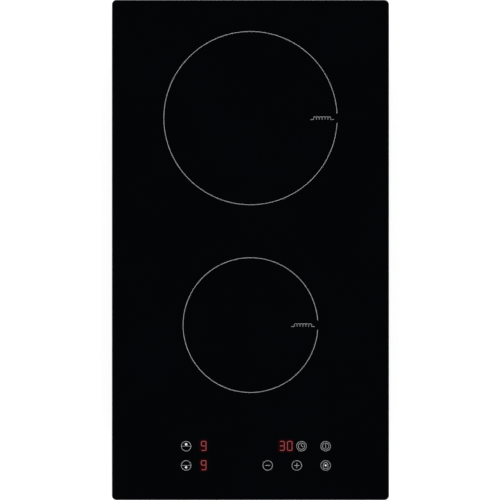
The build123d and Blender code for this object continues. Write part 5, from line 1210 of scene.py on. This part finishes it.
class HOB_OT_stage(bpy.types.Operator):
    """Set up the white floor, soft lamps, world and the camera straight above the glass."""
    bl_idname = "hob.stage"
    bl_label = "Studio"
    # Length and width of the lamps
    SIDE_LAMP = (1.5, 0.7)
    END_LAMP = (1.0, 0.6)
    LAMP_BELOW = (1.6, 1.6)
    # The camera's sensor in millimetres, and the nearest and farthest that it sees
    SENSOR = 36.0
    NEAREST = 0.05
    FARTHEST = 100.0
    # Light of the surroundings from the horizon, at 0, to straight above, at 1
    SKY = (
        (0.0, (0.38, 0.38, 0.39)),
        (0.28, (0.46, 0.46, 0.46)),
        (0.45, (0.72, 0.72, 0.72)),
        (0.62, (0.42, 0.42, 0.42)),
        (0.93, (0.012, 0.012, 0.013)),
    )
    # Size of the soft panels in the surroundings, the span of their edges, and their light
    PANEL_SCALE = 1.6
    PANEL_EDGES = (0.40, 0.58)
    PANEL_LIGHT = (0.35, 1.05)
    # The floor's paint, the strength of its own white, and how far it lies below the hob
    FLOOR_PAINT = (0.9, 0.9, 0.9, 1.0)
    FLOOR_LIGHT = 1.3
    FLOOR_DROP = 0.0002

    def execute(self, context):
        settings = context.scene.hob_stage
        self.add_floor(context, settings)
        self.set_world(context)
        for side in (-1, 1):
            beside = Vector((side * settings.side_reach, 0.0, settings.lamp_height))
            self.add_lamp("Side lamp", settings.side_power, self.SIDE_LAMP, beside)
            at_end = Vector((0.0, side * settings.end_reach, settings.lamp_height))
            self.add_lamp("End lamp", settings.end_power, self.END_LAMP, at_end)
        self.add_lamp("Lamp below", settings.below_power, self.LAMP_BELOW, -UPWARD * settings.below_depth)
        self.add_camera(context, settings)
        context.scene.view_settings.view_transform = "Standard"
        return {"FINISHED"}

    @staticmethod
    def add_lamp(name, energy, size, place):
        """A soft lamp that faces the hob and shows neither to the camera nor in reflections."""
        lamp = bpy.data.lights.new(name, "AREA")
        lamp.shape = "RECTANGLE"
        lamp.size, lamp.size_y = size
        lamp.energy = energy
        holder = bpy.data.objects.new(name, lamp)
        holder.location = place
        holder.rotation_euler = (-place).to_track_quat("-Z", "Y").to_euler()
        holder.visible_camera = False
        holder.visible_glossy = False
        bpy.context.scene.collection.objects.link(holder)

    def add_camera(self, context, settings):
        """A camera that looks straight down on the glass."""
        camera = bpy.data.cameras.new("Camera")
        camera.lens = settings.lens
        camera.sensor_width = self.SENSOR
        camera.clip_start = self.NEAREST
        camera.clip_end = self.FARTHEST
        holder = bpy.data.objects.new("Camera", camera)
        holder.location = (settings.camera_shift, 0.0, GLASS_TOP + settings.camera_height)
        context.scene.collection.objects.link(holder)
        context.scene.camera = holder

    def set_world(self, context):
        """White to the camera. Around the hob, soft panels that end below a dark ceiling."""
        world = bpy.data.worlds.new("Studio")
        world.use_nodes = True
        tree = world.node_tree
        where = tree.nodes.new("ShaderNodeTexCoord").outputs["Generated"]
        sky = add_node(tree, "ShaderNodeValToRGB", {"Fac": along_axes(tree, where)["Z"]})
        fill_ramp(sky.color_ramp, self.SKY)
        panels = add_noise(tree, where, self.PANEL_SCALE, detail=0.0)
        soft = spread(tree, panels[0], *self.PANEL_EDGES, *self.PANEL_LIGHT, smooth=True)
        lit = mix_colours(tree, 1.0, sky.outputs[0], soft, "MULTIPLY")
        seen = tree.nodes.new("ShaderNodeLightPath").outputs["Is Camera Ray"]
        tree.links.new(mix_colours(tree, seen, lit, WHITE), tree.nodes["Background"].inputs["Color"])
        context.scene.world = world

    def add_floor(self, context, settings):
        """A white floor just below the hob."""
        shape = bmesh.new()
        bmesh.ops.create_grid(shape, x_segments=1, y_segments=1, size=settings.floor_size / 2,
                              matrix=Matrix.Translation((0.0, 0.0, CAD_LOW.z - self.FLOOR_DROP)))
        mesh = bpy.data.meshes.new("floor")
        shape.to_mesh(mesh)
        shape.free()
        mesh.materials.append(self.floor_paint(settings))
        floor = bpy.data.objects.new("floor", mesh)
        context.scene.collection.objects.link(floor)

    def floor_paint(self, settings):
        """White paint on one side: it shows no back, and lets the lamp below through."""
        material = bpy.data.materials.new("Studio floor")
        material.use_nodes = True
        tree = material.node_tree
        tree.nodes.clear()
        paint = add_node(tree, "ShaderNodeBsdfDiffuse", {"Color": self.FLOOR_PAINT})
        white = add_node(tree, "ShaderNodeEmission", {"Color": WHITE, "Strength": self.FLOOR_LIGHT})
        clear = tree.nodes.new("ShaderNodeBsdfTransparent")
        path = tree.nodes.new("ShaderNodeLightPath").outputs
        seen = combine(tree, "MAXIMUM", path["Is Camera Ray"], path["Is Glossy Ray"])
        seen = combine(tree, "MAXIMUM", seen, path["Is Transmission Ray"])
        where = tree.nodes.new("ShaderNodeTexCoord").outputs["Object"]
        plain = spread(tree, vector_length(tree, where), settings.shadow_near, settings.shadow_far,
                       settings.floor_white, smooth=True)
        share = combine(tree, "MULTIPLY", seen, plain)
        front = add_node(tree, "ShaderNodeMixShader", {0: share, 1: paint.outputs[0], 2: white.outputs[0]})
        back = tree.nodes.new("ShaderNodeNewGeometry").outputs["Backfacing"]
        unseen = combine(tree, "MAXIMUM", back, path["Is Shadow Ray"])
        whole = add_node(tree, "ShaderNodeMixShader", {0: unseen, 1: front.outputs[0], 2: clear.outputs[0]})
        add_node(tree, "ShaderNodeOutputMaterial", {"Surface": whole.outputs[0]})
        return material


OPERATORS = (
    HOB_OT_stage,
    HOB_OT_glass_top,
    HOB_OT_zone_print,
    HOB_OT_key_print,
    HOB_OT_lit_digits,
    HOB_OT_steel_tray,
    HOB_OT_coil_windings,
    HOB_OT_coil_supports,
    HOB_OT_power_board,
    HOB_OT_leads,
    HOB_OT_controls,
    HOB_OT_fan,
    HOB_OT_terminals,
    HOB_OT_blank_plate,
)

SETTINGS = {
    "hob_print": HobPrintSettings,
    "hob_display": HobDisplaySettings,
    "hob_finish": HobFinishSettings,
    "hob_coil": HobCoilSettings,
    "hob_plate": HobPlateSettings,
    "hob_stage": HobStageSettings,
}


class HOB_PT_dressing(bpy.types.Panel):
    """Settings and steps of the dressing."""
    bl_idname = "HOB_PT_dressing"
    bl_label = "Hob dressing"
    bl_space_type = "VIEW_3D"
    bl_region_type = "UI"
    bl_category = "Hob"

    def draw(self, context):
        for name, group in SETTINGS.items():
            box = self.layout.box()
            box.label(text=group.__doc__)
            for label in group.__annotations__:
                box.prop(getattr(context.scene, name), label)
        for step in OPERATORS:
            self.layout.operator(step.bl_idname)


def register():
    """Makes the settings, steps and panel known."""
    for name, group in SETTINGS.items():
        bpy.utils.register_class(group)
        setattr(bpy.types.Scene, name, PointerProperty(type=group))
    for step in OPERATORS:
        bpy.utils.register_class(step)
    bpy.utils.register_class(HOB_PT_dressing)


def unregister():
    """Takes the panel, steps and settings away again."""
    bpy.utils.unregister_class(HOB_PT_dressing)
    for step in reversed(OPERATORS):
        bpy.utils.unregister_class(step)
    for name, group in SETTINGS.items():
        delattr(bpy.types.Scene, name)
        bpy.utils.unregister_class(group)


def main():
    """Dresses the hob."""
    register()
    bpy.ops.hob.stage()
    bpy.ops.hob.glass_top()
    bpy.ops.hob.zone_print()
    bpy.ops.hob.key_print()
    bpy.ops.hob.lit_digits()
    bpy.ops.hob.steel_tray()
    bpy.ops.hob.coil_windings()
    bpy.ops.hob.coil_supports()
    bpy.ops.hob.power_board()
    bpy.ops.hob.leads()
    bpy.ops.hob.controls()
    bpy.ops.hob.fan()
    bpy.ops.hob.terminals()
    bpy.ops.hob.blank_plate()


if __name__ == "__main__":
    main()
